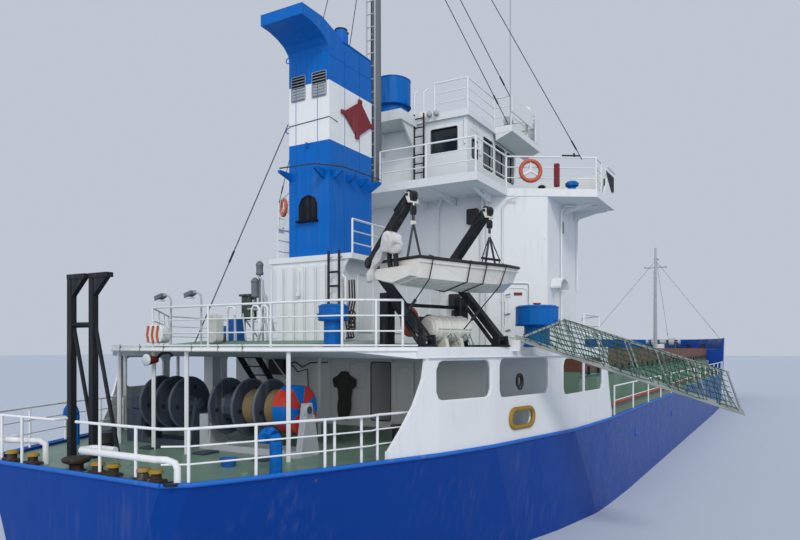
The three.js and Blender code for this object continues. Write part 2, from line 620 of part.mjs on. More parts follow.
function addWheelhouse() {
  const { aft, front, half, wall } = WHEELHOUSE;
  const top = LEVEL.roof - PLATE.roof - GAP;
  const floor = LEVEL.bridge + GAP;
  const outside = box([aft, front], [-half, half], [floor, top]);
  const inside = box([aft + wall, front - wall], [-half + wall, half - wall], [floor - 0.1, top + 0.1]);
  const panes = [
    [12.7, 13.45],
    [13.75, 14.55],
    [14.85, 15.45],
  ].map((x) => box(x, [-half - 0.1, half + 0.1], [WINDOW.sill, WINDOW.head]));
  const frontPanes = [-2.3, -1.15, 0, 1.15, 2.3].map((y) =>
    box([front - 0.3, front + 0.1], [y - 0.48, y + 0.48], [WINDOW.sill - 0.1, WINDOW.head + 0.05]),
  );
  const aftPanes = [-1, 1].map((sign) => {
    const across = [sign * 1.78, sign * 2.7].sort((a, b) => a - b);
    return box([aft - 0.1, aft + 0.3], across, WINDOW.aft);
  });
  const { x, width, height } = SIDE_DOOR;
  const foot = floor + 0.15;
  const jamb = x + width / 2;
  const doorway = box([jamb - width, jamb], [-half - 0.1, half + 0.1], [foot, foot + height]);
  const knuckles = (sign, lift, [s0, s1]) =>
    HINGE.heights.flatMap((z) => {
      const [from, to] = [foot + z + lift, foot + z + lift + HINGE.length];
      const line = sign * (half + HINGE.out);
      const across = [sign * (half - 0.01), line].sort((a, b) => a - b);
      const pin = rod([jamb, line, from], [jamb, line, to], HINGE.radius, 8);
      return [pin, box([jamb + s0, jamb + s1], across, [from, to])];
    });
  const below = -HINGE.length - GAP;
  const fixed = [-1, 1].flatMap((sign) => knuckles(sign, below, [0, 0.12]));
  const walls = cut(outside, [inside, doorway, ...panes, ...frontPanes, ...aftPanes]);
  addPiece("wheelhouse", PAINT.white, union([walls, ...fixed]));
  for (const [side, sign] of [["starboard", -1], ["port", 1]]) {
    const across = [sign * half, sign * (half - SIDE_DOOR.leaf)].sort((a, b) => a - b);
    const leaf = box([jamb - width + CLEAR, jamb - CLEAR], across, [foot + CLEAR, foot + height - CLEAR]);
    const pane = box([x - 0.22, x + 0.22], [-half - 1, half + 1], [WINDOW.sill + 0.1, WINDOW.head - 0.3]);
    const straps = knuckles(sign, 0, [-HINGE.strap, -0.004]);
    addPiece(`wheelhouse_door_${side}`, PAINT.white, union([cut(leaf, [pane]), ...straps]));
  }

  const under = LEVEL.roof - PLATE.roof;
  const plan = mirrored([
    [ROOF.aft, -ROOF.half],
    [ROOF.step, -ROOF.half],
    [ROOF.step, -ROOF.wingHalf],
    [ROOF.front, -ROOF.wingHalf],
  ]);
  const plate = prism(plan, "z", [under, LEVEL.roof]);
  const plinth = box([10.3, ROOF.aft + 0.05], [-1.28, 0.1], [under - 0.1, LEVEL.roof]);
  const gusset = [[10.5, under - 0.1], [ROOF.aft + 0.02, under - 0.9], [ROOF.aft + 0.02, under]];
  const gussets = [-1.2, 0.02].map((y) => prism(gusset, "y", [y - 0.03, y + 0.03]));
  const wings = [-1, 1].map((sign) => {
    const [inner, outer] = [sign * ROOF.half, sign * (ROOF.wingHalf - 0.01)];
    const outline = [[inner, under - 0.23], [outer, under], [outer, under + 0.02], [inner, under + 0.02]];
    return prism(sign > 0 ? outline : outline.reverse(), "x", [ROOF.step + 0.01, ROOF.front - 0.01]);
  });
  addPiece("compass_deck", PAINT.white, union([plate, plinth, ...gussets, ...wings]));
}

// Engine casing, funnel and vents

function addCasing() {
  const { aft, fore, starboard, port, roof, walk } = CASING;
  const floor = LEVEL.boat + CROWN.height + GAP;
  const block = box([aft, fore], [starboard, port], [floor, roof - 0.1]);
  const top = box([aft - 0.04, fore], walk, [roof - 0.14, roof]);
  const ribs = [-0.15, -0.5, -0.85, -1.2, -1.55, -1.95].map((y) =>
    box([aft - 0.05, aft + 0.01], [y - 0.09, y + 0.09], [floor, roof - 0.25]),
  );
  // Curved brackets under the roof's overhang on each side.
  const brackets = [
    [starboard, walk[0] - starboard],
    [port, walk[1] - port],
  ].map(([wall, reach]) => {
    const curve = [0, 0.25, 0.5, 0.75, 1].map((t) => {
      const angle = (t * Math.PI) / 2;
      return [wall + reach * (1 - Math.cos(angle)), roof - 0.85 + 0.75 * Math.sin(angle)];
    });
    const outline = [...curve, [wall, roof - 0.1]];
    return prism(reach < 0 ? outline : outline.reverse(), "x", [aft, aft + 0.06]);
  });
  const [inner, outer] = LADDER_Y;
  const x = aft - 0.16;
  const rungs = [0.3, 0.65, 1.0, 1.35, 1.7].map((lift) =>
    rod([x, outer, floor + lift], [x, inner, floor + lift], 0.02),
  );
  const sides = LADDER_Y.map((y) => rod([x, y, floor + 0.1], [x, y, roof + 0.02], 0.025));
  const stays = LADDER_Y.map((y) => rod([x, y, roof - 0.07], [aft, y, roof - 0.07], 0.025));
  const walkRails = [
    [[aft + 0.05, walk[0] + 0.05], [aft + 1.9, walk[0] + 0.05]],
    [[aft + 0.25, walk[1] - 0.05], [fore - 0.1, walk[1] - 0.05]],
  ].map((path) => railing(path, roof - 0.05, { spacing: 1.1, height: 0.9 }));
  const ladder = [...sides, ...rungs, ...stays];
  addPiece("engine_casing", PAINT.white, union([block, top, ...ribs, ...brackets, ...ladder, ...walkRails]));
}

// Brackets around the funnel: the face that each stands on (aft or starboard), its place along that
// face, how far it reaches out, and its height.
const FUNNEL_BRACKETS = [
  ["aft", -0.5, 0.5, 0.2],
  ["aft", -1.55, 0.42, 0.26],
  ["starboard", 6.1, 0.3, 0.26],
  ["starboard", 6.75, 0.3, 0.22],
  ["starboard", 7.3, 0.3, 0.22],
  ["starboard", 7.8, 0.36, 0.28],
];

function addFunnel() {
  const { aft, fore, starboard, port, top } = FUNNEL;
  const floor = CASING.roof + GAP;
  const curve = [0, 0.2, 0.4, 0.6, 0.8, 1].map((t) => {
    const angle = (t * Math.PI) / 2;
    return [aft - COWL.reach * (1 - Math.cos(angle)), COWL.start + COWL.rise * Math.sin(angle)];
  });
  const lip = [[aft + 0.6, top + 0.05], [aft - 0.3, COWL.top], [aft - COWL.reach, COWL.top]];
  const outline = [[fore, floor], [fore, top], ...lip, ...curve.reverse(), [aft, floor]];
  const stack = prism(outline.reverse(), "y", [starboard, port]);
  const mouth = box([aft + 0.75, fore - 0.12], [starboard + 0.1, port - 0.1], [top - 0.5, top + 1]);
  const shelf = 9.73;
  const brackets = FUNNEL_BRACKETS.map(([face, at, reach, deep]) => {
    const wall = face === "aft" ? aft : starboard;
    const tip = wall - reach;
    const profile = [[wall + 0.02, shelf - deep], [wall + 0.02, shelf], [tip, shelf], [tip, shelf - 0.06]];
    return prism(profile, face === "aft" ? "y" : "x", [at - 0.04, at + 0.04]);
  });
  const pipes = [
    //  x     y      radius  top
    [7.0, -0.8, 0.16, 13.75],
    [7.0, -1.32, 0.16, 13.75],
    [7.55, -1.06, 0.1, 13.95],
  ].map(([x, y, radius, head]) => rod([x, y, top - 0.6], [x, y, head], radius, 12));
  const shell = cut(union([stack, ...brackets]), [mouth]);
  addPiece("funnel", PAINT.funnel, union([shell, ...pipes]));
}

// Mushroom vents: a drum over a narrower neck.
const VENTS = [
  // name                x      y      foot                             neck   drum   drum z limits
  ["vent_boat_deck_aft", 4.3, -3.02, LEVEL.boat, 0.22, 0.335, [5.78, 6.1]],
  ["vent_boat_deck_side", 10.55, -5.6, LEVEL.boat, 0.36, 0.6, [5.8, 6.32]],
  ["vent_compass_deck", 10.92, -0.6, LEVEL.roof, 0.5, 0.6, [12.95, 13.82]],
];

function addVents() {
  for (const [name, x, y, foot, neck, drum, [z0, z1]] of VENTS) {
    const base = foot + GAP;
    const stem = [[0, base], [neck, base], [neck, z0]];
    const cap = [[drum, z0], [drum, z1], [drum - 0.06, z1 + 0.05], [0, z1 + 0.05]];
    addPiece(name, PAINT.funnel, turned([x, y], [...stem, ...cap], 16));
  }
  const floor = LEVEL.deck + GAP;
  const goosenecks = [
    // side         x     y      pipe  bend   height of the bend's foot
    ["starboard", 1.9, -3.41, 0.12, 0.15, 0.63],
    ["port", 2.38, 3.38, 0.1, 0.165, 0.75],
  ];
  for (const [side, x, y, radius, bend, rise] of goosenecks) {
    const arc = [0, 1, 2, 3, 4].map((i) => {
      const angle = (i * Math.PI) / 4;
      return [x, y + bend * (1 - Math.cos(angle)), floor + rise + bend * Math.sin(angle)];
    });
    const run = [[x, y, floor], ...arc, [x, y + 2 * bend, floor + rise - 0.05]];
    addPiece(`gooseneck_vent_${side}`, PAINT.funnel, pipe(run, radius, 8));
  }
}

// Masts and radar

function addMainMast() {
  const { x, y, radius, top, yard } = MAIN_MAST;
  const { ahead, half, shelf } = RADAR;
  const floor = LEVEL.bridge + GAP;
  const pole = rod([x, y, floor], [x, y, top], radius, 10, radius * 0.7);
  const foot = box([x - 0.25, x + 0.25], [y - 0.25, y + 0.25], [floor, floor + 0.06]);
  const spar = rod([x, y - 1.6, yard], [x, y + 1.6, yard], 0.045);
  const platform = box([x, x + ahead + 0.3], [y - 0.3, y + 0.3], [shelf, shelf + 0.06]);
  const knee = prism([[x, shelf], [x, shelf - 0.7], [x + ahead, shelf]], "y", [y - 0.03, y + 0.03]);
  const centre = x + ahead;
  const head = shelf + 0.45; // top of the scanner's pedestal
  const pedestal = rod([centre, y, shelf], [centre, y, head], 0.14, 12);
  addPiece("main_mast", PAINT.grey, union([pole, foot, spar, platform, knee, pedestal]));
  const spindle = rod([centre, y, head + GAP], [centre, y, head + 0.1], 0.06, 10);
  const bar = box([centre - 0.08, centre + 0.08], [y - half, y + half], [head + 0.08, head + 0.22]);
  addPiece("radar_scanner", PAINT.white, union([spindle, bar]));
}

// Davits, rescue boat and liferaft

// A square bar between two points of the boat's frame.
function davitBar(from, to, size) {
  const [du, dz] = [to[1] - from[1], to[2] - from[2]];
  const half = size / 2;
  const across = [(-dz * half) / Math.hypot(du, dz), (du * half) / Math.hypot(du, dz)];
  const ring = ([along, u, z]) =>
    [[-1, 1], [1, 1], [1, -1], [-1, -1]].map(([a, b]) =>
      fromBoat([along + a * half, u + b * across[0], z + b * across[1]]),
    );
  return loft([ring(from), ring(to)]);
}

// A round bar that lies along the boat at a point of its frame.
function boatwise([along, inboard, z], half, radius, sides = 12) {
  return rod(fromBoat([along - half, inboard, z]), fromBoat([along + half, inboard, z]), radius, sides);
}

function addDavits() {
  const { stations, footAhead, foot, heel, tip, size } = DAVIT;
  const floor = LEVEL.boat + GAP;
  stations.forEach((along, i) => {
    const hinge = [along + footAhead, ...foot];
    const arm = union([
      davitBar(hinge, [along, ...heel], size),
      davitBar([along, ...heel], [along, ...tip], size * 1.15),
      boatwise(hinge, 0.2, 0.05),
      boatwise([along, ...heel], 0.1, 0.14),
      boatwise([along, ...tip], 0.09, 0.11),
      boatwise([along, ...tip], 0.15, DAVIT.pin),
    ]);
    addPiece(`davit_arm_${i + 1}`, PAINT.black, arm);
  });
  const stands = stations.flatMap((along) => {
    const at = along + footAhead;
    const [u, head] = [foot[0], foot[1] + 0.09];
    const ear = [[u - 0.12, floor], [u + 0.14, floor], [u + 0.08, head], [u - 0.08, head]];
    const ears = [-0.16, 0.16].map((offset) => boatPrism([at + offset - 0.03, at + offset + 0.03], ear));
    const shoe = boatBox([at - 0.2, at + 0.2], [foot[0] - 0.14, 1.5], [floor, floor + 0.05]);
    const post = boatBox([along + 0.2, along + 0.42], [1.12, 1.4], [floor, 6.45]);
    return [...ears, shoe, post];
  });
  const ties = [0.04, 1.0].map((z) =>
    boatBox([stations[0] + 0.2, stations[1] + 0.42], [1.25, 1.35], [floor + z - 0.04, floor + z + 0.04]),
  );
  const bores = stations.map((along) => boatwise([along + footAhead, ...foot], 0.4, 0.05 * ROUND + GAP));
  addPiece("davit_stands", PAINT.black, cut(union([...stands, ...ties]), bores));
}

// A box in the boat's frame.
function boatBox(along, [u0, u1], [z0, z1]) {
  return boatPrism(along, [[u0, z0], [u1, z0], [u1, z1], [u0, z1]]);
}

// A prism in the boat's frame: limits along the boat and an outline of [inboard, z] points.
function boatPrism([a0, a1], outline) {
  const start = outline.map(([inboard, z]) => fromBoat([a0, inboard, z]));
  const end = outline.map(([inboard, z]) => fromBoat([a1, inboard, z]));
  return loft([start, end]);
}

// Boat sections from aft forward. The stern behind the boat's well is low, and the motor stands on it.
const BOAT_SECTIONS = [
  // along, half-breadth at the top and at the chine, heights of chine, keel and top
  [0.2, 0.64, 0.57, 6.62, 6.5, 7.04],
  [1.6, 0.78, 0.66, 6.6, 6.45, 7.02],
  [2.8, 0.74, 0.58, 6.63, 6.47, 7.05],
  [3.6, 0.48, 0.3, 6.74, 6.52, 7.08],
  [4.05, 0.06, 0.03, 7.0, 6.9, 7.16],
];
const BOAT_STERN = [
  [0, 0.6, 0.54, 6.65, 6.54, 6.86],
  [0.25, 0.61, 0.55, 6.64, 6.53, 6.86],
];
const MOTOR = { hood: [-0.18, 0.18], leg: [0.01, 0.12], half: 0.17, foot: 6.86, base: 7.18, top: 7.66 };

// The ring of a boat's section: gunwales, chines and keel.
const boatRing = ([along, half, chine, chineZ, keelZ, top]) =>
  [[-half, top], [-chine, chineZ], [0, keelZ], [chine, chineZ], [half, top]].map(([inboard, z]) =>
    fromBoat([along, inboard, z]),
  );

function addRescueBoat() {
  const wellSections = BOAT_SECTIONS.slice(0, 4).map(([along, half, , , , top]) => {
    const [inner, inset] = [half - 0.1, along === BOAT_SECTIONS[0][0] ? 0.08 : 0];
    const [rim, sole] = [top + 0.2, top - 0.25];
    const ring = [[-inner, rim], [-inner + 0.06, sole], [inner - 0.06, sole], [inner, rim]];
    return ring.map(([inboard, z]) => fromBoat([along + inset, inboard, z]));
  });
  const whole = union([BOAT_SECTIONS, BOAT_STERN].map((sections) => loft(sections.map(boatRing))));
  const hull = cut(whole, [loft(wellSections)]);
  // A fork on each davit's pin, its fall and a sling of two legs to the boat's floor.
  const [u, z] = DAVIT.tip;
  const cheekFoot = [[u - 0.08, z - 0.18], [u - 0.03, z - 0.18]];
  const cheek = [...cheekFoot, [u + 0.05, z - 0.03], [u + 0.05, z + 0.05], [u - 0.05, z + 0.05]];
  const slings = DAVIT.stations.flatMap((along) => {
    const cheeks = [-0.132, 0.112].map((side) => boatPrism([along + side, along + side + 0.02], cheek));
    const bore = boatwise([along, u, z], 0.3, DAVIT.pin * ROUND + GAP);
    const cross = boatBox([along - 0.122, along + 0.122], [u - 0.074, u - 0.036], [z - 0.172, z - 0.14]);
    const head = [along, u - 0.055, z - 0.6];
    const feet = [along - 0.3, along + 0.3].map((a) => [a, 0, 6.64]);
    return [
      cut(union([...cheeks, cross]), [bore]),
      ...feet.map((foot) => rod(fromBoat(head), fromBoat(foot), 0.02, 5)),
      rod(fromBoat([along, u - 0.055, z - 0.155]), fromBoat(head), 0.03, 6),
      boatwise(head, 0.04, 0.05, 8),
    ];
  });
  addPiece("rescue_boat", PAINT.boat, union([hull, ...slings]));
  const { half, base, top } = MOTOR;
  const brow = [half - 0.02, top - 0.1];
  const hood = [[-half, base], [half, base], brow, [0.08, top], [-0.08, top], [-brow[0], brow[1]]];
  const leg = boatBox(MOTOR.leg, [-0.09, 0.09], [MOTOR.foot + GAP, base + 0.02]);
  addPiece("outboard_motor", PAINT.grey, union([boatPrism(MOTOR.hood, hood), leg]));
}

function addLiferaft() {
  const floor = LEVEL.boat + GAP;
  const axis = floor + 0.42;
  const [a0, a1, side] = [1.55, 2.65, 0.47];
  const canister = rod(fromBoat([a0, side, axis]), fromBoat([a1, side, axis]), 0.3, 14);
  const saddle = axis - 0.2;
  const chock = [[side - 0.3, floor], [side + 0.3, floor], [side + 0.25, saddle], [side - 0.25, saddle]];
  const cradle = [a0 + 0.3, a1 - 0.3].map((along) => boatPrism([along - 0.05, along + 0.05], chock));
  addPiece("liferaft", PAINT.boat, union([canister, ...cradle]));
}

// Mooring gear

// Winches: side, then y of the bearing pedestals, the rope drum's flanges, the brake drum and the gear box.
const WINCHES = [
  { side: "port", pedestals: [0.62, 2.35], flanges: [0.95, 1.45, 1.98], brakes: [], gear: [2.35, 2.9] },
  {
    side: "starboard",
    pedestals: [-2.66, 0.02],
    flanges: [-0.35, -1.05, -1.68],
    brakes: [[-2.53, -2.13]],
    gear: [0.02, 0.3],
  },
];

function addWinches() {
  const { x, axis, flange, brake, barrel, shaft } = WINCH_ROW;
  const floor = LEVEL.deck + GAP;
  const foot = [[x - 0.34, floor], [x + 0.34, floor], [x + 0.13, axis + 0.15], [x - 0.13, axis + 0.15]];
  for (const { side, pedestals, flanges, brakes, gear } of WINCHES) {
    const [first, last] = [Math.min(...flanges), Math.max(...flanges)];
    const discs = flanges.map((y) => rod([x, y - 0.03, axis], [x, y + 0.03, axis], flange, 18));
    const rims = brakes.map(([y0, y1]) => rod([x, y0, axis], [x, y1, axis], brake, 16));
    const core = rod([x, first, axis], [x, last, axis], barrel, 12);
    const spindle = rod([x, pedestals[0] - 0.08, axis], [x, pedestals[1] + 0.08, axis], shaft, 12);
    const reach = rod([x, pedestals[1] - 0.08, axis], [x, pedestals[0] + 0.08, axis], shaft, 12);
    addPiece(`winch_drums_${side}`, PAINT.slate, union([...discs, ...rims, core, spindle, reach]));
    const stands = pedestals.map((y) => prism(foot, "y", [y - 0.05, y + 0.05]));
    const beams = [x - 0.34, x + 0.26].map((at) => box([at, at + 0.08], pedestals, [floor, floor + 0.14]));
    const gearBox = box([x - 0.3, x + 0.3], gear, [floor, axis - 0.2]);
    const bore = rod([x, -4, axis], [x, 4, axis], shaft * ROUND + GAP, 12);
    addPiece(`winch_frame_${side}`, PAINT.slate, cut(union([...stands, ...beams, gearBox]), [bore]));
  }
}

// Mooring deck rails, with the pipe guard and the fairlead rollers at the transom. Each side: its sign, the
// rail's end inside the shell, the rail across the transom, the guard's run and feet, the rollers' y and the
// sill's y limits.
const STERN_RAILS = [
  {
    side: "port",
    sign: 1,
    inside: [[4.82, 4.78], [3.85, 4.45]],
    transom: [[-0.06, 2.56], [-0.06, 0.42], [0.24, 0.48]],
    guard: [[0.4, 1.43], [0.02, 2.5]],
    feet: [[0.4, 1.43]],
    rollers: [1.22, 1.94],
    sill: [1.0, 2.55],
  },
  {
    side: "starboard",
    sign: -1,
    inside: [[5.04, -4.85], [3.85, -4.45]],
    transom: [[-0.06, -2.56], [-0.06, -0.4]],
    guard: [[0.3, -0.9], [0.3, -0.33], [-0.05, -0.33], [-0.05, -2.46], [0.1, -2.78]],
    feet: [[0.1, -2.78]],
    rollers: [-0.8, -1.24, -2.05, -2.37],
    sill: [-2.55, -0.55],
  },
];

function addSternRails() {
  const rim = LEVEL.gunwale + GAP;
  const guardZ = rim + 0.4;
  const deck = LEVEL.deck + GAP;
  for (const { side, sign, inside, transom, guard, feet, rollers, sill } of STERN_RAILS) {
    const quarter = edgeRun(0.2, 3.6, 0.07).map(([x, y]) => [x, -sign * y]);
    const along = [...inside, ...quarter.reverse(), transom[0]];
    const postFeet = inside.map(([x, y]) => rod([x, y, deck], [x, y, rim + 0.03], RAIL.post * 1.4, 6));
    const rails = [
      railing(along, rim, { spacing: 1.6, height: 0.93, middles: [0.35, 0.68] }),
      railing(transom, rim, { spacing: 1.1, height: 0.93, middles: [] }),
    ];
    const bends = guard.map(([x, y]) => [x, y, guardZ]);
    const legs = feet.map(([x, y]) => rod([x, y, x > 0.3 ? deck : rim], [x, y, guardZ], 0.065, 8));
    const plate = box([-0.1, 0.1], sill, [rim, rim + 0.06]);
    const wheels = rollers.map((y) => rod([0, y, rim + 0.05], [0, y, rim + 0.3], 0.1, 8));
    const [first, last] = [guard[0], guard.at(-1)];
    const ends = [first, last].map(([x, y]) => rod([-0.06, y, guardZ], [x, y, guardZ], 0.04, 6));
    const pieces = [...rails, ...postFeet, pipe(bends, 0.065, 8), ...legs, ...ends, plate, ...wheels];
    addPiece(`stern_rails_${side}`, PAINT.white, union(pieces));
  }
}

function addBollards() {
  const floor = LEVEL.deck + GAP;
  const pairs = [
    // name         x     y     turn of the pair's line
    ["starboard", 6.1, -3.9, 0.3],
    ["port", 6.1, 3.9, -0.3],
  ];
  const head = floor + 0.5;
  const stem = [[0, floor], [0.14, floor], [0.14, head]];
  const profile = [...stem, [0.18, head], [0.18, head + 0.06], [0, head + 0.06]];
  for (const [side, x, y, turn] of pairs) {
    const [dx, dy] = [0.32 * Math.cos(turn), -0.32 * Math.sin(turn)];
    const posts = [-1, 1].map((way) => turned([x + way * dx, y + way * dy], profile, 8));
    const base = box([x - 0.55, x + 0.55], [y - 0.22, y + 0.22], [floor, floor + 0.06]);
    addPiece(`bollards_${side}`, PAINT.black, union([base, ...posts]));
  }
}

// Two black posts on the port quarter with short arms, joined by a crossbar.
function addGallows() {
  const floor = LEVEL.deck + GAP;
  const top = LEVEL.boat + 1.59;
  const posts = [
    [1.28, 1.88],
    [1.33, 1.2],
  ];
  const pieces = posts.flatMap(([x, y]) => [
    box([x - 0.07, x + 0.07], [y - 0.07, y + 0.07], [floor, top]),
    box([x - 0.08, x + 0.08], [y - 0.55, y + 0.07], [top - 0.1, top]),
    prism([[y - 0.5, top - 0.09], [y, top - 0.55], [y, top - 0.09]], "x", [x - 0.06, x + 0.06]),
    rod([x + 0.02, y - 0.03, LEVEL.boat + 0.5], [x + 0.08, y - 0.75, floor + 0.03], 0.045, 5),
  ]);
  const [[xa, ya], [xb, yb]] = posts;
  const crossbar = rod([xa, ya, LEVEL.boat + 0.48], [xb, yb, LEVEL.boat + 0.48], 0.06, 4);
  addPiece("stern_gallows", PAINT.black, union([...pieces, crossbar]));
}

// Guard rails of each deck

function addRails() {
  const rim = LEVEL.gunwale + GAP;
  const floor = LEVEL.boat + GAP;
  const boatPort = edgeRun(7.2, 13.9, 0.12).map(([x, y]) => [x, -y]);
  const boatAft = [[3.8, 2.3], [3.8, -3.6], [4.2, -4.2], [4.5, -4.68]];
  const boatPath = [...boatPort.reverse(), ...boatAft];
  addPiece("rails_boat_deck", PAINT.white, railing(boatPath, floor, { spacing: 1.9 }));
  const fore = [[12.6, -6.38], [14.2, -6.45], [15.5, -5.55]];
  addPiece("rails_boat_deck_fore", PAINT.white, railing(fore, floor));

  const bridge = LEVEL.bridge + GAP;
  const inset = 0.06;
  const wingPath = (edge) => {
    const posts = edge.slice(0, 3).map(([x, y]) => [x + inset, y - Math.sign(y) * inset]);
    return [...posts, [14.0, posts[2][1]]];
  };
  // The after rail is open amidships, over a low toe bar.
  const after = BRIDGE.starboard[0][0] + inset;
  const [openPort, openStarboard] = [1.5, -1.04];
  const bridgeRuns = [
    [...wingPath(BRIDGE.port).reverse(), [after, openPort]],
    [[after, openStarboard], ...wingPath(BRIDGE.starboard)],
  ].map((run) => railing(run, bridge, { spacing: 1.9 }));
  const toe = box([after - 0.015, after + 0.015], [openStarboard, openPort], [bridge, bridge + 0.06]);
  addPiece("rails_bridge_deck", PAINT.white, union([...bridgeRuns, toe]));

  const roof = LEVEL.roof + GAP;
  const compass = [
    [ROOF.aft + 0.1, -1.9],
    [ROOF.aft + 0.1, -ROOF.half + 0.08],
    [ROOF.step + 0.08, -ROOF.half + 0.08],
    [ROOF.step + 0.08, -ROOF.wingHalf + 0.08],
    [ROOF.front - 0.08, -ROOF.wingHalf + 0.08],
  ];
  const compassPath = [...compass, ...compass.map(([x, y]) => [x, -y]).reverse()];
  addPiece("rails_compass_deck", PAINT.white, railing(compassPath, roof, { spacing: 1.9 }));

  for (const [side, sign] of [["starboard", -1], ["port", 1]]) {
    const run = [[15.6, sign * 6.63], [61.2, sign * 6.4]];
    const bent = [run[0], [57, sign * 6.63], run[1]];
    addPiece(`rails_main_deck_${side}`, PAINT.white, railing(bent, rim, { spacing: 3.1, middles: [0.5] }));
  }
}

// A point of the gangway: along it from the hinge, to its side, and up from its floor.
function onGangway([along, side, up]) {
  const { hinge, height, slope, turn } = GANGWAY;
  const out = along * Math.cos(slope) - up * Math.sin(slope);
  const rise = up * Math.cos(slope) - along * Math.sin(slope);
  const x = hinge[0] + out * Math.sin(turn) + side * Math.cos(turn);
  const y = hinge[1] - out * Math.cos(turn) + side * Math.sin(turn);
  return [x, y, height + rise];
}

// Two cheeks on the boat deck that carry the ends of the gangway's axle.
function gangwaySeat() {
  const { height, half } = GANGWAY;
  return [-half - 0.13, half + 0.13].map((side) => {
    const [x, y] = onGangway([0, side, 0]);
    return box([x - 0.04, x + 0.04], [y - 0.05, y + 0.3], [LEVEL.boat - 0.1, height - 0.045 - GAP]);
  });
}

// Gangway: a walkway with hand rails, hinged at the boat deck's edge and lowered to the quay.
function addGangway() {
  const { length, half } = GANGWAY;
  const at = (along, side, up) => onGangway([along, side, up]);
  const bar = ([a0, a1], [s0, s1], [u0, u1]) =>
    loft([a0, a1].map((along) => [[s0, u0], [s1, u0], [s1, u1], [s0, u1]].map(([s, u]) => at(along, s, u))));
  // The hand rail runs level over the posts and slopes down to the hinge.
  const [first, last] = [1.5, length - 0.08];
  const posts = [0, 0.2, 0.4, 0.6, 0.8, 1].map((share) => first + (last - first) * share);
  const slopingRail = (side) =>
    loft(
      [[0.12, 0.04], [first + 0.02, 0.96]].map(([along, up]) =>
        [[-0.02, 0], [0.02, 0], [0.02, 0.045], [-0.02, 0.045]].map(([s, u]) => at(along, side + s, up + u)),
      ),
    );
  const sides = [-half, half].flatMap((side) => [
    bar([-0.06, length], [side - 0.04, side + 0.04], [-0.08, 0.08]),
    bar([first, length - 0.02], [side - 0.024, side + 0.024], [0.965, 1.01]),
    slopingRail(side),
    ...posts.map((along) => bar([along, along + 0.04], [side - 0.027, side + 0.027], [0.05, 0.99])),
  ]);
  const deck = bar([0.03, length - 0.04], [-half, half], [-0.03, 0.03]);
  const axle = rod(at(0, -half - 0.18, 0), at(0, half + 0.18, 0), 0.045, 10);
  addPiece("gangway", PAINT.grey, union([...sides, deck, axle]));
}

// Rudder and propeller

function addSternGear() {
  const { stock, aft, fore, top, bottom, thick } = RUDDER;
  const half = thick / 2;
  const starboardFace = [[stock - 0.6, 0.04 - half], [stock, -half], [fore, -0.04]];
  const portFace = starboardFace.map(([x, y]) => [x, -y]).reverse();
  const blade = prism([[aft, 0], ...starboardFace, ...portFace], "z", [bottom, top]);
  const post = rod([stock, 0, top - 0.1], [stock, 0, RUDDER.trunk - GAP], 0.13, 12);
  addPiece("rudder", PAINT.rust, union([blade, post]));

  const { x, z, radius, boss, blades } = PROPELLER;
  const hub = rod([x - 0.35, 0, z], [5.4 - GAP, 0, z], boss * 0.55, 14, boss);
  const fans = Array.from({ length: blades }, (_, i) => {
    const angle = (i * 2 * Math.PI) / blades + Math.PI / 4;
    const out = [Math.sin(angle), Math.cos(angle)];
    const across = [Math.cos(angle), -Math.sin(angle)];
    const ring = (reach, width, twist) =>
      [[-1, 1], [1, 1], [1, -1], [-1, -1]].map(([a, b]) => {
        const side = a * width * Math.cos(twist);
        const ahead = a * width * Math.sin(twist) + b * 0.025;
        return [x + ahead, out[0] * reach + across[0] * side, z + out[1] * reach + across[1] * side];
      });
    return loft([ring(0.1, 0.14, 0.9), ring(radius * 0.6, 0.36, 0.55), ring(radius, 0.16, 0.4)]);
  });
  addPiece("propeller", PAINT.bronze, union([hub, ...fans]));
}

addHull();
addForecastle();
addBowGear();
addHatch();
addShell("starboard", -1);
addShell("port", 1);
addLowerHouse();
addBoatDeck();
addStair();
addUpperHouse();
addBridgeDeck();
addWheelhouse();
addCasing();
addFunnel();
addVents();
addMainMast();
addDavits();
addRescueBoat();
addLiferaft();
addWinches();
addSternRails();
addBollards();
addGallows();
addRails();
addGangway();
addSternGear();

export default part;
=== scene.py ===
"""Dresses the 1:2 model of a small coastal cargo ship: finishes, rails, windows, deck gear and rigging.

Lengths in the tables are full-size metres, as in the part's source: x forward from the transom, y to port,
z up from the waterline. The function `model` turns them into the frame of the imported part.
"""

import json
import logging
import math
from dataclasses import dataclass
from enum import Enum
from typing import Callable, Optional, Sequence

import bpy
from mathutils import Matrix, Vector

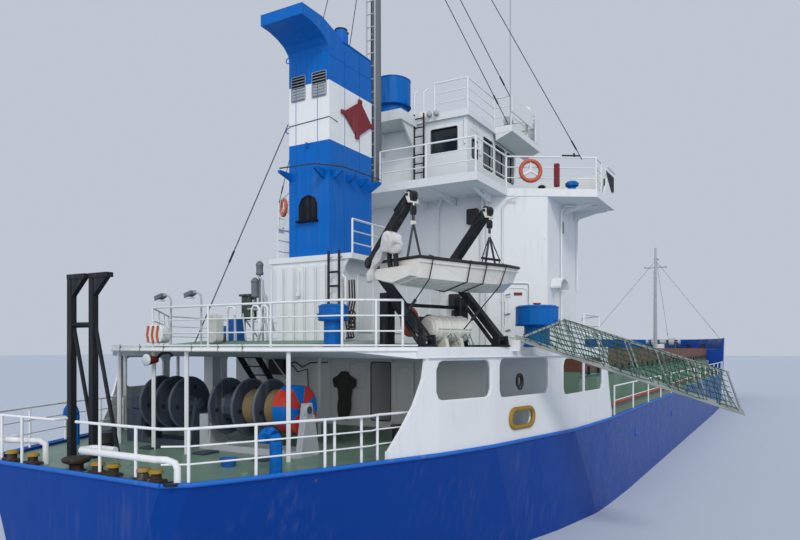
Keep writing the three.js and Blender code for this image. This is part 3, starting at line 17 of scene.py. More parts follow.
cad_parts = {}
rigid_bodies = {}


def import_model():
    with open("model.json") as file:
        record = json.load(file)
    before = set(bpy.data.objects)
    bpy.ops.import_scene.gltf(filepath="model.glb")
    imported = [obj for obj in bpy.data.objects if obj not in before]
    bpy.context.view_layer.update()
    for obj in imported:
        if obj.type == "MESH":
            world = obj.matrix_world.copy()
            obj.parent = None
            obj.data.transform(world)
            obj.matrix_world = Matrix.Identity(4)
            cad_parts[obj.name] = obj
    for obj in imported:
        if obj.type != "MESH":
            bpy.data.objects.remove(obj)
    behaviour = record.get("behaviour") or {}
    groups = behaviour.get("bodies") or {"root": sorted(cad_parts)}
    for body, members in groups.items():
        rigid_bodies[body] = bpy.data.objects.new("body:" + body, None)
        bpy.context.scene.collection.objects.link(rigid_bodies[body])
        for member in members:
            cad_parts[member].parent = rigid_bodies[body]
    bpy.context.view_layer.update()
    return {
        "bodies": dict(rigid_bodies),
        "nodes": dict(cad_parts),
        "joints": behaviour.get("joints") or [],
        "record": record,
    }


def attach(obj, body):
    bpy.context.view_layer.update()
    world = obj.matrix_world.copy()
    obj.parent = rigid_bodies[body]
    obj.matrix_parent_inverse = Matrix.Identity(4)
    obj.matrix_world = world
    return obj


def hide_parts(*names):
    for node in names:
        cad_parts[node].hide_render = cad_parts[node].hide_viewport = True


LOG = logging.getLogger("coaster")

Point = tuple[float, float, float]
Span = tuple[float, float]

SCALE = 0.5
AMIDSHIPS = 37.5
ROOT = "ship"


def model(point: Sequence[float]) -> Vector:
    """Turn a full-size point of the ship into the model's frame."""
    x, y, z = point
    return Vector(((x - AMIDSHIPS) * SCALE, y * SCALE, z * SCALE))


@dataclass(frozen=True)
class Level:
    """Heights of the decks above the waterline."""

    deck: float = 2.8
    gunwale: float = 2.87
    boat: float = 5.2
    bridge: float = 10.12
    roof: float = 12.68


LEVEL = Level()

# The boat deck's middle is crowned: it stands this much over the deck's edge.
CAMBER = 0.17


# Materials

HULL_BLUE = "003C90"
HOUSE_WHITE = "DCE0E3"
DECK_GREEN = "6F8C7C"
ANTIFOULING_RED = "7A3128"
DIRT = "8B8A82"
RUST = "7C4A2C"

# Noise scales, as features to the metre of the model: dirt runs are 60 mm wide, blotches 600 mm, rust spots
# 200 mm, the roller's marks 110 mm and the plate's ripples 450 mm. Brush marks are under a millimetre wide,
# and are drawn 11 mm wide so that they show.
RUNS, BLOTCHES, SPOTS, ROLLER, RIPPLES, BRUSH = 16.0, 1.6, 5.0, 9.0, 2.2, 90.0
RUN_SQUASH = 0.09

# A plain finish's grain is too fine to show, so it is drawn this many times as coarse. Its wear lies in
# patches of 330 mm.
COARSER = 4
WEAR = 3.0

SOFT_STEP = {"clamp": True, "interpolation_type": "SMOOTHSTEP"}
COLOURS = {"data_type": "RGBA"}
MULTIPLY = {"operation": "MULTIPLY"}
ABOVE = {"operation": "GREATER_THAN"}
BELOW = {"operation": "LESS_THAN"}

# The sockets of a Mix node set to colours: its share, its two colours and its result.
SHARE, FIRST, SECOND, MIXED = 0, 6, 7, 2


def linear(colour: str, alpha: float = 1.0) -> tuple[float, float, float, float]:
    """Turn an sRGB hex colour into linear values.

    Args:
        colour: Six hex digits.
        alpha: Opacity.

    Returns:
        Red, green, blue and alpha, from 0 to 1.
    """
    values = []
    for start in (0, 2, 4):
        share = int(colour[start : start + 2], 16) / 255
        values.append(share / 12.92 if share <= 0.04045 else ((share + 0.055) / 1.055) ** 2.4)
    return (values[0], values[1], values[2], alpha)


def add_node(
    tree: bpy.types.NodeTree,
    kind: str,
    settings: Optional[dict] = None,
    inputs: Optional[dict] = None,
    output: int | str = 0,
) -> bpy.types.NodeSocket:
    """Add a node with its settings, values and links.

    Args:
        tree: The tree that gets the node.
        kind: The node's Blender type.
        settings: Attributes of the node.
        inputs: Values for its sockets, or output sockets to link to them.
        output: Number or name of the output that other nodes read.

    Returns:
        The socket of that output.
    """
    node = tree.nodes.new(kind)
    for name, value in (settings or {}).items():
        setattr(node, name, value)
    for name, value in (inputs or {}).items():
        if isinstance(value, bpy.types.NodeSocket):
            tree.links.new(value, node.inputs[name])
        else:
            node.inputs[name].default_value = value
    return node.outputs[output]


class Region(Enum):
    """Where a second colour lies on a painted piece."""

    NONE = "none"
    DECK = "walked-on upper faces"
    UNDERWATER = "below the waterline, and walked-on upper faces"
    BAND = "a level band between two heights"


@dataclass(frozen=True)
class MarinePaint:
    """Brushed or rolled marine paint over welded steel plate.

    The eye sees a slightly uneven sheen from the roller, faint ripples where frames pull the plate, vertical
    dirt runs and, where it is neglected, rust that bleeds through.
    """

    name: str
    colour: str
    roughness: float = 0.45
    grime: float = 0.35
    rust: float = 0.0
    ripple: float = 0.25
    region: Region = Region.NONE
    second: str = DECK_GREEN
    third: str = ANTIFOULING_RED
    band: Span = (0.0, 0.0)

    def material(self) -> bpy.types.Material:
        """Build the paint's material.

        Returns:
            A node material that reads Object coordinates.
        """
        material = bpy.data.materials.new(self.name)
        material.use_nodes = True
        tree = material.node_tree
        shader = tree.nodes["Principled BSDF"]
        shader.inputs["Specular IOR Level"].default_value = 0.16
        place = add_node(tree, "ShaderNodeTexCoord", output="Object")
        base: object = linear(self.colour)
        if self.region is not Region.NONE:
            base = self._regions(tree, place)
        tree.links.new(self._weather(tree, place, base), shader.inputs["Base Color"])
        sheen = add_node(tree, "ShaderNodeTexNoise", {}, {"Vector": place, "Scale": ROLLER, "Detail": 4.0})
        span = {"Value": sheen, "To Min": self.roughness - 0.08, "To Max": self.roughness + 0.14}
        tree.links.new(add_node(tree, "ShaderNodeMapRange", {}, span), shader.inputs["Roughness"])
        wave = add_node(tree, "ShaderNodeTexNoise", {}, {"Vector": place, "Scale": RIPPLES, "Detail": 1.0})
        marks = add_node(tree, "ShaderNodeTexNoise", {}, {"Vector": place, "Scale": BRUSH, "Detail": 2.0})
        fine = add_node(tree, "ShaderNodeBump", {}, {"Height": marks, "Strength": 0.12, "Distance": 0.001})
        dents = {"Height": wave, "Strength": self.ripple, "Distance": 0.03, "Normal": fine}
        tree.links.new(add_node(tree, "ShaderNodeBump", {}, dents), shader.inputs["Normal"])
        return material

    def _weather(
        self, tree: bpy.types.NodeTree, place: bpy.types.NodeSocket, base: object
    ) -> bpy.types.NodeSocket:
        """Lay dirt runs over the paint's colour, and rust where the paint has any.

        Args:
            tree: The material's tree.
            place: Object coordinates.
            base: The clean paint's colour or its socket.

        Returns:
            The weathered colour's socket.
        """
        runs = add_node(tree, "ShaderNodeMapping", {}, {"Vector": place, "Scale": (1.0, 1.0, RUN_SQUASH)})
        streaks = add_node(tree, "ShaderNodeTexNoise", {}, {"Vector": runs, "Scale": RUNS, "Detail": 5.0})
        blotch = add_node(tree, "ShaderNodeTexNoise", {}, {"Vector": place, "Scale": BLOTCHES, "Detail": 6.0})
        masks = [
            add_node(
                tree, "ShaderNodeMapRange", SOFT_STEP, {"Value": value, "From Min": low, "From Max": high}
            )
            for value, low, high in ((streaks, 0.48, 0.74), (blotch, 0.38, 0.7))
        ]
        both = add_node(tree, "ShaderNodeMath", MULTIPLY, {0: masks[0], 1: masks[1]})
        grime = add_node(tree, "ShaderNodeMath", MULTIPLY, {0: both, 1: self.grime})
        colour = add_node(
            tree, "ShaderNodeMix", COLOURS, {SHARE: grime, FIRST: base, SECOND: linear(DIRT)}, MIXED
        )
        if self.rust <= 0:
            return colour
        specks = {"Vector": place, "Scale": SPOTS, "Detail": 9.0, "Roughness": 0.7}
        spots = add_node(tree, "ShaderNodeTexNoise", {}, specks)
        edge = {"Value": spots, "From Min": 0.68 - 0.12 * self.rust, "From Max": 0.74}
        mask = add_node(tree, "ShaderNodeMapRange", SOFT_STEP, edge)
        bleed = add_node(tree, "ShaderNodeMath", MULTIPLY, {0: mask, 1: 0.85})
        return add_node(
            tree, "ShaderNodeMix", COLOURS, {SHARE: bleed, FIRST: colour, SECOND: linear(RUST)}, MIXED
        )

    def _regions(self, tree: bpy.types.NodeTree, place: bpy.types.NodeSocket) -> bpy.types.NodeSocket:
        """Colour the second and third regions.

        Args:
            tree: The material's tree.
            place: Object coordinates.

        Returns:
            The base colour's socket.
        """
        first, second = linear(self.colour), linear(self.second)
        height = add_node(tree, "ShaderNodeSeparateXYZ", {}, {0: place}, 2)
        if self.region is Region.BAND:
            low, high = self.band
            above = add_node(tree, "ShaderNodeMath", ABOVE, {0: height, 1: low})
            below = add_node(tree, "ShaderNodeMath", BELOW, {0: height, 1: high})
            mask = add_node(tree, "ShaderNodeMath", MULTIPLY, {0: above, 1: below})
            return add_node(
                tree, "ShaderNodeMix", COLOURS, {SHARE: mask, FIRST: first, SECOND: second}, MIXED
            )
        normal = add_node(tree, "ShaderNodeNewGeometry", output="True Normal")
        upward = add_node(tree, "ShaderNodeSeparateXYZ", {}, {0: normal}, 2)
        deck = add_node(tree, "ShaderNodeMath", ABOVE, {0: upward, 1: 0.9})
        side: object = first
        if self.region is Region.UNDERWATER:
            gunwale = (LEVEL.gunwale - 0.03) * SCALE
            floor = add_node(tree, "ShaderNodeMath", BELOW, {0: height, 1: gunwale})
            deck = add_node(tree, "ShaderNodeMath", MULTIPLY, {0: deck, 1: floor})
            wet = add_node(tree, "ShaderNodeMath", BELOW, {0: height, 1: 0.0})
            wetted = {SHARE: wet, FIRST: first, SECOND: linear(self.third)}
            side = add_node(tree, "ShaderNodeMix", COLOURS, wetted, MIXED)
        return add_node(tree, "ShaderNodeMix", COLOURS, {SHARE: deck, FIRST: side, SECOND: second}, MIXED)


@dataclass(frozen=True)
class Smooth:
    """A plain finish of one colour: glass, moulded plastic, rubber, rope, canvas or bare metal.

    The eye sees a fine grain in its sheen and broad, faint darker patches where it is worn or dirty. grain is
    the size of that grain in millimetres, such as the lay of a rope.
    """

    name: str
    colour: str
    roughness: float = 0.4
    metallic: float = 0.0
    grain: float = 6.0
    bump: float = 0.2
    variation: float = 0.25

    def material(self) -> bpy.types.Material:
        """Build the finish's material.

        Returns:
            A node material that reads Object coordinates.
        """
        material = bpy.data.materials.new(self.name)
        material.use_nodes = True
        tree = material.node_tree
        shader = tree.nodes["Principled BSDF"]
        shader.inputs["Metallic"].default_value = self.metallic
        place = add_node(tree, "ShaderNodeTexCoord", output="Object")
        lay = {"Vector": place, "Scale": 1000 / self.grain / COARSER, "Detail": 4.0}
        pattern = add_node(tree, "ShaderNodeTexNoise", {}, lay)
        broad = add_node(tree, "ShaderNodeTexNoise", {}, {"Vector": place, "Scale": WEAR, "Detail": 5.0})
        worn = add_node(
            tree, "ShaderNodeMapRange", SOFT_STEP, {"Value": broad, "From Min": 0.35, "From Max": 0.75}
        )
        share = add_node(tree, "ShaderNodeMath", MULTIPLY, {0: worn, 1: self.variation})
        clean = linear(self.colour)
        dark = tuple(channel * 0.45 for channel in clean[:3]) + (1.0,)
        colour = add_node(tree, "ShaderNodeMix", COLOURS, {SHARE: share, FIRST: clean, SECOND: dark}, MIXED)
        tree.links.new(colour, shader.inputs["Base Color"])
        span = {"Value": pattern, "To Min": max(0.03, self.roughness - 0.1), "To Max": self.roughness + 0.1}
        tree.links.new(add_node(tree, "ShaderNodeMapRange", {}, span), shader.inputs["Roughness"])
        relief = {"Height": pattern, "Strength": self.bump, "Distance": self.grain / 4000}
        tree.links.new(add_node(tree, "ShaderNodeBump", {}, relief), shader.inputs["Normal"])
        return material


class Paint(Enum):
    """The ship's finishes. Each member's value is its finish and the record's slot."""

    # Gloss on fair plate: it takes the sky's sheen, and the frames behind it show as soft ripples.
    HULL = (
        MarinePaint("Hull blue gloss", HULL_BLUE, 0.34, 0.12, 0.1, 0.5, Region.UNDERWATER),
        "hull_blue",
    )
    BULWARK = (
        MarinePaint("Forecastle blue gloss", HULL_BLUE, 0.34, 0.12, 0.1, 0.4, Region.DECK),
        "hull_blue",
    )
    WHITE = (
        MarinePaint("White superstructure gloss", HOUSE_WHITE, 0.45, 0.16, 0.06, 0.45),
        "white_paint",
    )
    DECKED = (
        MarinePaint("White with walked deck", HOUSE_WHITE, 0.5, 0.16, 0.06, 0.3, Region.DECK),
        "white_paint",
    )
    BOAT_DECK = (
        MarinePaint("Boat deck green and white edge", HOUSE_WHITE, 0.55, 0.2, 0.08, 0.2, Region.DECK),
        "deck_green",
    )
    FUNNEL = (
        MarinePaint(
            "Funnel blue with white band",
            "0064BA",
            0.42,
            0.14,
            0.1,
            0.45,
            Region.BAND,
            "E2E6E8",
            band=(10.47 * SCALE, 11.98 * SCALE),
        ),
        "funnel_blue",
    )

    # Brushed paint on bars, pipes and fittings: duller, dirtier, and rusty where it is knocked.
    RUBBING = (MarinePaint("Light blue bar", "2268C4", 0.5, 0.4, 0.6, 0.2), "hull_blue")
    FUNNEL_SEAM = (MarinePaint("Funnel hoop blue", "1A5CA6", 0.5, 0.3, 0.2, 0.1), "funnel_blue")
    FUNNEL_DARK = (MarinePaint("Funnel hatch dark blue", "10161F", 0.6, 0.2, 0.1, 0.1), "funnel_blue")
    # The casing's white plate drawn grey along its seams: a painted shadow line at each panel joint.
    SHADOW = (MarinePaint("Panel seam painted shadow grey", "B4BABF", 0.7, 0.5, 0.3, 0.1), "white_paint")
    # White louvres drawn grey: painted shade on the funnel's after face and among the slats.
    LOUVRE = (MarinePaint("Louvre white in painted shade", "9AA3AB", 0.5, 0.6, 0.2, 0.1), "white_paint")
    SLATE_WORN = (MarinePaint("Winch rim slate, rubbed", "525A68", 0.4, 0.5, 0.5, 0.1), "slate_grey")
    RUSTY = (MarinePaint("Worn dark fitting paint", "37302A", 0.65, 0.6, 1.0, 0.1), "grey_paint")
    TUB = (MarinePaint("Blue tub", "2460AC", 0.5, 0.3, 0.0, 0.1), "funnel_blue")
    LOCKER = (MarinePaint("Dark green locker", "3A4A40", 0.5, 0.5, 0.3, 0.1), "deck_green")
    EXHAUST = (MarinePaint("Sooted exhaust pipe", "3B3A3A", 0.7, 0.6, 0.5, 0.1), "grey_paint")
    PIPE_WHITE = (MarinePaint("White pipe rail", "E3E6E8", 0.45, 0.35, 0.3, 0.1), "white_paint")
    BLUE = (MarinePaint("Fitting blue", "0062B4", 0.42, 0.2, 0.2, 0.2), "funnel_blue")
    GREEN = (MarinePaint("Deck green", DECK_GREEN, 0.65, 0.5, 0.4, 0.3), "deck_green")
    COVER = (MarinePaint("Hatch cover brown", "6D4A3E", 0.6, 0.5, 0.5, 0.4), "cover_brown")
    SLATE = (MarinePaint("Winch slate grey", "3E4655", 0.45, 0.4, 0.3, 0.1), "slate_grey")
    GREY = (MarinePaint("Light grey machinery", "A9B0B6", 0.5, 0.4, 0.4, 0.1), "grey_paint")
    BLACK = (MarinePaint("Black chassis paint", "24272C", 0.42, 0.35, 0.2, 0.1), "black_paint")
    RED = (MarinePaint("Signal red", "B3362B", 0.45, 0.25, 0.2, 0.1), "antifouling")
    ANTIFOULING = (MarinePaint("Antifouling red", ANTIFOULING_RED, 0.7, 0.4, 0.3, 0.2), "antifouling")
    LOCKER_RED = (MarinePaint("Dark red locker", "7E2A33", 0.5, 0.3, 0.2, 0.1), "antifouling")
    MAST = (MarinePaint("Mast grey", "6C7178", 0.5, 0.4, 0.3, 0.1), "grey_paint")
    YELLOW = (MarinePaint("Fairlead yellow", "97792C", 0.6, 0.6, 0.9, 0.1), "grey_paint")

    # Glass and moulded laminate: smooth, with a clear, small highlight.
    GREEN_LAMP = (Smooth("Green lamp glass", "1E7A4A", 0.15, 0.0, 20.0, 0.05, 0.1), "deck_green")
    LAMP = (Smooth("Lamp glass", "C9D3D6", 0.12, 0.0, 20.0, 0.05, 0.1), "white_paint")
    GLASS = (Smooth("Tinted window glass", "1B2228", 0.08, 0.0, 60.0, 0.02, 0.2), "black_paint")
    LAMINATE = (Smooth("Glass-fibre laminate", "DEDDD4", 0.28, 0.0, 20.0, 0.05, 0.2), "boat_white")

    # Woven canvas and laid rope: matt, with a coarse grain that catches the light.
    CANVAS = (Smooth("Weathered canvas cover", "D2D4D3", 0.85, 0.0, 9.0, 0.9, 0.5), "dark_cover")
    CANVAS_DARK = (Smooth("Dark working coat", "3C3F3C", 0.9, 0.0, 9.0, 0.9, 0.5), "dark_cover")
    ROPE = (Smooth("Laid mooring rope", "7A6A4A", 0.9, 0.0, 10.0, 1.0, 0.6), "dark_cover")
    ROPE_GREEN = (Smooth("Green netting", "2B5A49", 0.8, 0.0, 8.0, 0.8, 0.5), "dark_cover")

    # Rubber, foam and unlit openings: dull, with next to no highlight.
    RUBBER = (Smooth("Black rubber", "1E1F21", 0.6, 0.0, 5.0, 0.3, 0.2), "black_paint")
    ORANGE = (Smooth("Lifebuoy orange", "BC5636", 0.5, 0.0, 8.0, 0.1, 0.3), "antifouling")
    DARK = (Smooth("Shadowed opening", "14171A", 0.8, 0.0, 12.0, 0.1, 0.2), "black_paint")

    # Bare metal: weathered zinc and alloy are dull, cast bronze is polished by the water.
    WIRE = (Smooth("Galvanised wire", "3E4145", 0.5, 0.4, 4.0, 0.4, 0.3), "bare_metal")
    ALLOY = (Smooth("Weathered alloy", "8C9290", 0.5, 0.5, 8.0, 0.2, 0.3), "bare_metal")
    BRONZE = (Smooth("Cast bronze", "A8843F", 0.35, 1.0, 10.0, 0.2, 0.2), "bronze")

    # The studio's floor: matt and nearly even.
    FLOOR = (Smooth("Pale floor", "BAC4D2", 0.9, 0.0, 40.0, 0.05, 0.02), "")


class Palette:
    """Builds each finish's material once."""

    def __init__(self) -> None:
        """Start with no material built."""
        self._built: dict[Paint, bpy.types.Material] = {}

    def get(self, paint: Paint) -> bpy.types.Material:
        """Give a finish's material, built on first use.

        Args:
            paint: The finish.

        Returns:
            Its material.
        """
        if paint not in self._built:
            self._built[paint] = paint.value[0].material()
        return self._built[paint]


PALETTE = Palette()
PIECES: list[bpy.types.Object] = []


def dress(
    piece: bpy.types.Object, paint: Paint, body: str = ROOT, instead_of: Sequence[str] = ()
) -> bpy.types.Object:
    """Give a finished piece its material and body.

    Args:
        piece: The piece, in place.
        paint: Its finish.
        body: The body that it rides on.
        instead_of: Nodes of the part that it stands for.

    Returns:
        The piece.
    """
    piece.data.materials.clear()
    piece.data.materials.append(PALETTE.get(paint))
    for polygon in piece.data.polygons:
        polygon.material_index = 0
    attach(piece, body)
    if instead_of:
        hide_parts(*instead_of)
    PIECES.append(piece)
    LOG.info("%s on %s: %d faces", piece.name, body, len(piece.data.polygons))
    return piece


# Modelling with Blender's operators


def deselect() -> None:
    """Deselect every object."""
    for each in bpy.context.selected_objects:
        each.select_set(False)


def only(piece: bpy.types.Object) -> None:
    """Make one object the selected and active one.

    Args:
        piece: The object.
    """
    deselect()
    piece.select_set(True)
    bpy.context.view_layer.objects.active = piece


def settle(piece: bpy.types.Object) -> bpy.types.Object:
    """Apply an object's place, turn and size to its mesh.

    Args:
        piece: The object.

    Returns:
        The same object, at the origin.
    """
    only(piece)
    bpy.ops.object.transform_apply(location=True, rotation=True, scale=True)
    return piece


def edit(piece: bpy.types.Object, steps: Callable[[], None]) -> bpy.types.Object:
    """Run operators in edit mode with the whole mesh selected.

    Args:
        piece: The object to shape.
        steps: A function that runs the operators.

    Returns:
        The same object, out of edit mode.
    """
    only(piece)
    bpy.ops.object.mode_set(mode="EDIT")
    bpy.ops.mesh.select_all(action="SELECT")
    steps()
    bpy.ops.object.mode_set(mode="OBJECT")
    return piece


def smooth(piece: bpy.types.Object, angle: float = 35.0) -> bpy.types.Object:
    """Shade a piece smooth.

    Args:
        piece: The piece.
        angle: The edge angle, in degrees, up to which faces blend.

    Returns:
        The same piece.
    """
    only(piece)
    bpy.ops.object.shade_smooth_by_angle(angle=math.radians(angle))
    return piece


def block(low: Point, high: Point, bevel: float = 0.01, name: str = "block") -> bpy.types.Object:
    """Make a box with bevelled edges.

    Args:
        low: Its lowest corner, full size.
        high: Its highest corner, full size.
        bevel: Width of the bevel, full size.
        name: The object's name.

    Returns:
        The box.
    """
    start, end = model(low), model(high)
    deselect()
    bpy.ops.mesh.primitive_cube_add(size=1, location=(start + end) / 2)
    piece = bpy.context.active_object
    piece.name = name
    piece.scale = end - start
    settle(piece)
    edit(piece, lambda: bpy.ops.mesh.bevel(offset=bevel * SCALE, segments=1, affect="EDGES"))
    return piece


def pipes(
    name: str, runs: Sequence[Sequence[Point]], radius: float, closed: bool = False, turns: int = 2
) -> bpy.types.Object:
    """Make round pipes along runs of points.

    Args:
        name: The object's name.
        runs: Points of each pipe, full size.
        radius: Radius of the pipes, full size.
        closed: Whether each run returns to its start.
        turns: Roundness of the section.

    Returns:
        One mesh of all the pipes.
    """
    deselect()
    bpy.ops.curve.primitive_bezier_curve_add()
    piece = bpy.context.active_object
    piece.name = name
    curve = piece.data
    curve.splines.clear()
    for run in runs:
        spline = curve.splines.new("POLY")
        spline.points.add(len(run) - 1)
        for knot, point in zip(spline.points, run):
            knot.co = (*model(point), 1.0)
        spline.use_cyclic_u = closed
    curve.dimensions = "3D"
    curve.bevel_depth = radius * SCALE
    curve.bevel_resolution = turns
    curve.use_fill_caps = True
    only(piece)
    bpy.ops.object.convert(target="MESH")
    return smooth(settle(piece), 50)


def turned(
    name: str, centre: Point, profile: Sequence[Span], sides: int = 32, axis: str = "Z"
) -> bpy.types.Object:
    """Turn a profile about an axis, ring by ring, from a circle.

    Args:
        name: The object's name.
        centre: The point that the profile's heights start from, full size.
        profile: Pairs of radius and height along the axis, full size, none with radius 0.
        sides: Faces around.
        axis: The axis of revolution.

    Returns:
        A closed mesh.
    """
    first_radius, first_height = profile[0]
    deselect()
    bpy.ops.mesh.primitive_circle_add(
        vertices=sides, radius=first_radius * SCALE, fill_type="NGON", location=(0, 0, first_height * SCALE)
    )
    piece = settle(bpy.context.active_object)
    piece.name = name

    def raise_rings() -> None:
        """Extrude each ring from the last and resize it."""
        radius, height = first_radius, first_height
        for next_radius, next_height in profile[1:]:
            bpy.ops.mesh.extrude_region_move(
                TRANSFORM_OT_translate={"value": (0, 0, (next_height - height) * SCALE)}
            )
            share = next_radius / radius
            bpy.ops.transform.resize(value=(share, share, 1), center_override=(0, 0, 0))
            radius, height = next_radius, next_height
        bpy.ops.mesh.select_all(action="SELECT")
        bpy.ops.mesh.normals_make_consistent(inside=False)

    edit(piece, raise_rings)
    turns = {
        "Z": Matrix.Identity(3),
        "Y": Matrix.Rotation(-math.pi / 2, 3, "X"),
        "X": Matrix.Rotation(math.pi / 2, 3, "Y"),
    }
    piece.data.transform(Matrix.Translation(model(centre)) @ turns[axis].to_4x4())
    return smooth(piece, 40)


def slab(name: str, outline: Sequence[Point], thickness: Point, bevel: float = 0.0) -> bpy.types.Object:
    """Make a flat piece from the outline of one face, extruded by a vector.

    Args:
        name: The object's name.
        outline: The corners of one face, full size.
        thickness: The vector that the face is extruded by, full size.
        bevel: Width of the bevel, full size.

    Returns:
        A closed mesh.
    """
    deselect()
    bpy.ops.mesh.primitive_circle_add(vertices=len(outline), radius=1, fill_type="NGON")
    piece = bpy.context.active_object
    piece.name = name
    for vertex, point in zip(piece.data.vertices, outline):
        vertex.co = model(point)
    piece.location = (0, 0, 0)

    def thicken() -> None:
        """Extrude the face, then turn all faces outwards."""
        move = Vector(thickness) * SCALE
        bpy.ops.mesh.extrude_region_move(TRANSFORM_OT_translate={"value": move})
        bpy.ops.mesh.select_all(action="SELECT")
        bpy.ops.mesh.normals_make_consistent(inside=False)
        if bevel:
            bpy.ops.mesh.bevel(offset=bevel * SCALE, segments=2, affect="EDGES")

    return edit(piece, thicken)


def joined(name: str, pieces: Sequence[bpy.types.Object]) -> bpy.types.Object:
    """Join pieces into one object with one mesh.

    Args:
        name: The joined object's name.
        pieces: The pieces, at least one.

    Returns:
        The first of them, which now holds all.
    """
    deselect()
    for piece in pieces:
        piece.select_set(True)
    bpy.context.view_layer.objects.active = pieces[0]
    if len(pieces) > 1:
        bpy.ops.object.join()
    pieces[0].name = name
    return pieces[0]


def copies(name: str, pattern: bpy.types.Object, moves: Sequence[Matrix]) -> bpy.types.Object:
    """Copy a pattern piece by each move, each copy with its own mesh, and join the copies.

    Args:
        name: The joined object's name.
        pattern: The piece to copy, which is then removed.
        moves: A matrix for each copy, in the model's frame.

    Returns:
        The joined copies.
    """
    made = []
    for move in moves:
        copy = pattern.copy()
        copy.data = pattern.data.copy()
        copy.data.transform(move)
        bpy.context.scene.collection.objects.link(copy)
        made.append(copy)
    bpy.data.objects.remove(pattern)
    return joined(name, made)


def at(point: Point, turn: float = 0.0) -> Matrix:
    """Move from the model's origin to a full-size point, after a turn in degrees about the vertical."""
    return Matrix.Translation(model(point)) @ Matrix.Rotation(math.radians(turn), 4, "Z")


def origin_point(offset: Sequence[float] = (0, 0, 0)) -> Point:
    """Give the full-size point that lies at the model's origin, with an offset."""
    return (AMIDSHIPS + offset[0], offset[1], offset[2])


# The studio


@dataclass
class Studio:
    """The camera at the photograph's viewing angle, the floor at the waterline and the lights."""

    eye: Point = (-7.9, -11.8, 5.2)
    heading: float = math.degrees(math.atan2(0.5015, 0.8652))
    focal: float = 30.23
    shift: Span = (0.0, 0.09625)

    def build(self) -> None:
        """Place the camera, the floor and the lights, and show colours as they are."""
        bpy.context.scene.view_settings.view_transform = "Standard"
        data = bpy.data.cameras.new("Camera")
        data.lens = self.focal
        data.sensor_width = 36
        data.shift_x, data.shift_y = self.shift
        data.clip_end = 500
        camera = bpy.data.objects.new("Camera", data)
        camera.location = model(self.eye)
        camera.rotation_euler = (math.radians(90), 0, math.radians(self.heading - 90))
        bpy.context.scene.collection.objects.link(camera)
        bpy.context.scene.camera = camera
        self._floor()
        self._lights()

    def _floor(self) -> None:
        """Make the pale floor."""
        deselect()
        bpy.ops.mesh.primitive_plane_add(size=400)
        floor = bpy.context.active_object
        floor.name = "studio_floor"
        floor.data.materials.append(PALETTE.get(Paint.FLOOR))

    def _lights(self) -> None:
        """Light the scene with a pale sky, a soft key and a fill."""
        world = bpy.data.worlds.new("Studio")
        bpy.context.scene.world = world
        world.use_nodes = True
        background = world.node_tree.nodes["Background"]
        background.inputs["Color"].default_value = linear("D3DBE8")
        background.inputs["Strength"].default_value = 0.8
        for name, energy, angle, turn in (
            ("Key", 1.25, 14.0, (50, 0, -46)),
            ("Low fill", 1.15, 50.0, (84, 0, -78)),
        ):
            data = bpy.data.lights.new(name, "SUN")
            data.energy = energy
            data.color = linear("FFF8F0")[:3]
            data.angle = math.radians(angle)
            lamp = bpy.data.objects.new(name, data)
            lamp.rotation_euler = [math.radians(value) for value in turn]
            bpy.context.scene.collection.objects.link(lamp)


NODE_PAINTS: dict[Paint, tuple[str, ...]] = {
    Paint.HULL: ("hull",),
    Paint.BULWARK: ("forecastle",),
    Paint.BLACK: (
        "anchor_starboard", "anchor_port", "stair", "davit_arm_1", "davit_arm_2", "davit_stands",
        "bollards_starboard", "bollards_port", "stern_gallows",
    ),
    Paint.SLATE: ("windlass_frame", "winch_drums_port", "winch_drums_starboard", "winch_frame_port"),
    Paint.GREY: ("windlass_barrels", "foremast", "winch_frame_starboard"),
    Paint.GREEN: ("hatch_coaming",),
    Paint.COVER: ("hatch_cover_1", "hatch_cover_2", "hatch_cover_3", "hatch_cover_4"),
    Paint.BOAT_DECK: ("boat_deck",),
    Paint.DECKED: ("bridge_deck", "compass_deck"),
    Paint.FUNNEL: ("funnel",),
    Paint.BLUE: (
        "vent_boat_deck_aft", "vent_boat_deck_side", "vent_compass_deck", "gooseneck_vent_starboard",
        "gooseneck_vent_port",
    ),
    Paint.MAST: ("main_mast",),
    Paint.LAMINATE: ("rescue_boat", "liferaft"),
    Paint.CANVAS: ("outboard_motor",),
    Paint.ALLOY: ("gangway",),
    Paint.ANTIFOULING: ("rudder",),
    Paint.BRONZE: ("propeller",),
}


def paint_nodes(nodes: dict[str, bpy.types.Object]) -> None:
    """Give every node of the part its finish, white where the table names none.

    Args:
        nodes: The part's objects by name.
    """
    paints = {name: paint for paint, names in NODE_PAINTS.items() for name in names}
    for name, node in nodes.items():
        node.data.materials.clear()
        node.data.materials.append(PALETTE.get(paints.get(name, Paint.WHITE)))
        for polygon in node.data.polygons:
            polygon.material_index = 0
    LOG.info("painted %d nodes", len(nodes))


def arc(
    centre: Point, radius: float, axis: str = "Z", start: float = 0.0, end: float = 360.0, steps: int = 16
) -> list[Point]:
    """Give points of an arc about an axis through a centre.

    Args:
        centre: The arc's centre, full size.
        radius: Its radius, full size.
        axis: The axis that it lies square to.
        start: The first point's angle in degrees.
        end: The last point's angle in degrees.
        steps: Parts of the arc.

    Returns:
        The points, without the last one where the arc is a full circle.
    """
    last = steps if abs(end - start) >= 360 else steps + 1
    x, y, z = centre
    points = []
    for step in range(last):
        angle = math.radians(start + (end - start) * step / steps)
        across, up = radius * math.cos(angle), radius * math.sin(angle)
        shift = {"X": (0, across, up), "Y": (across, 0, up), "Z": (across, up, 0)}[axis]
        points.append((x + shift[0], y + shift[1], z + shift[2]))
    return points


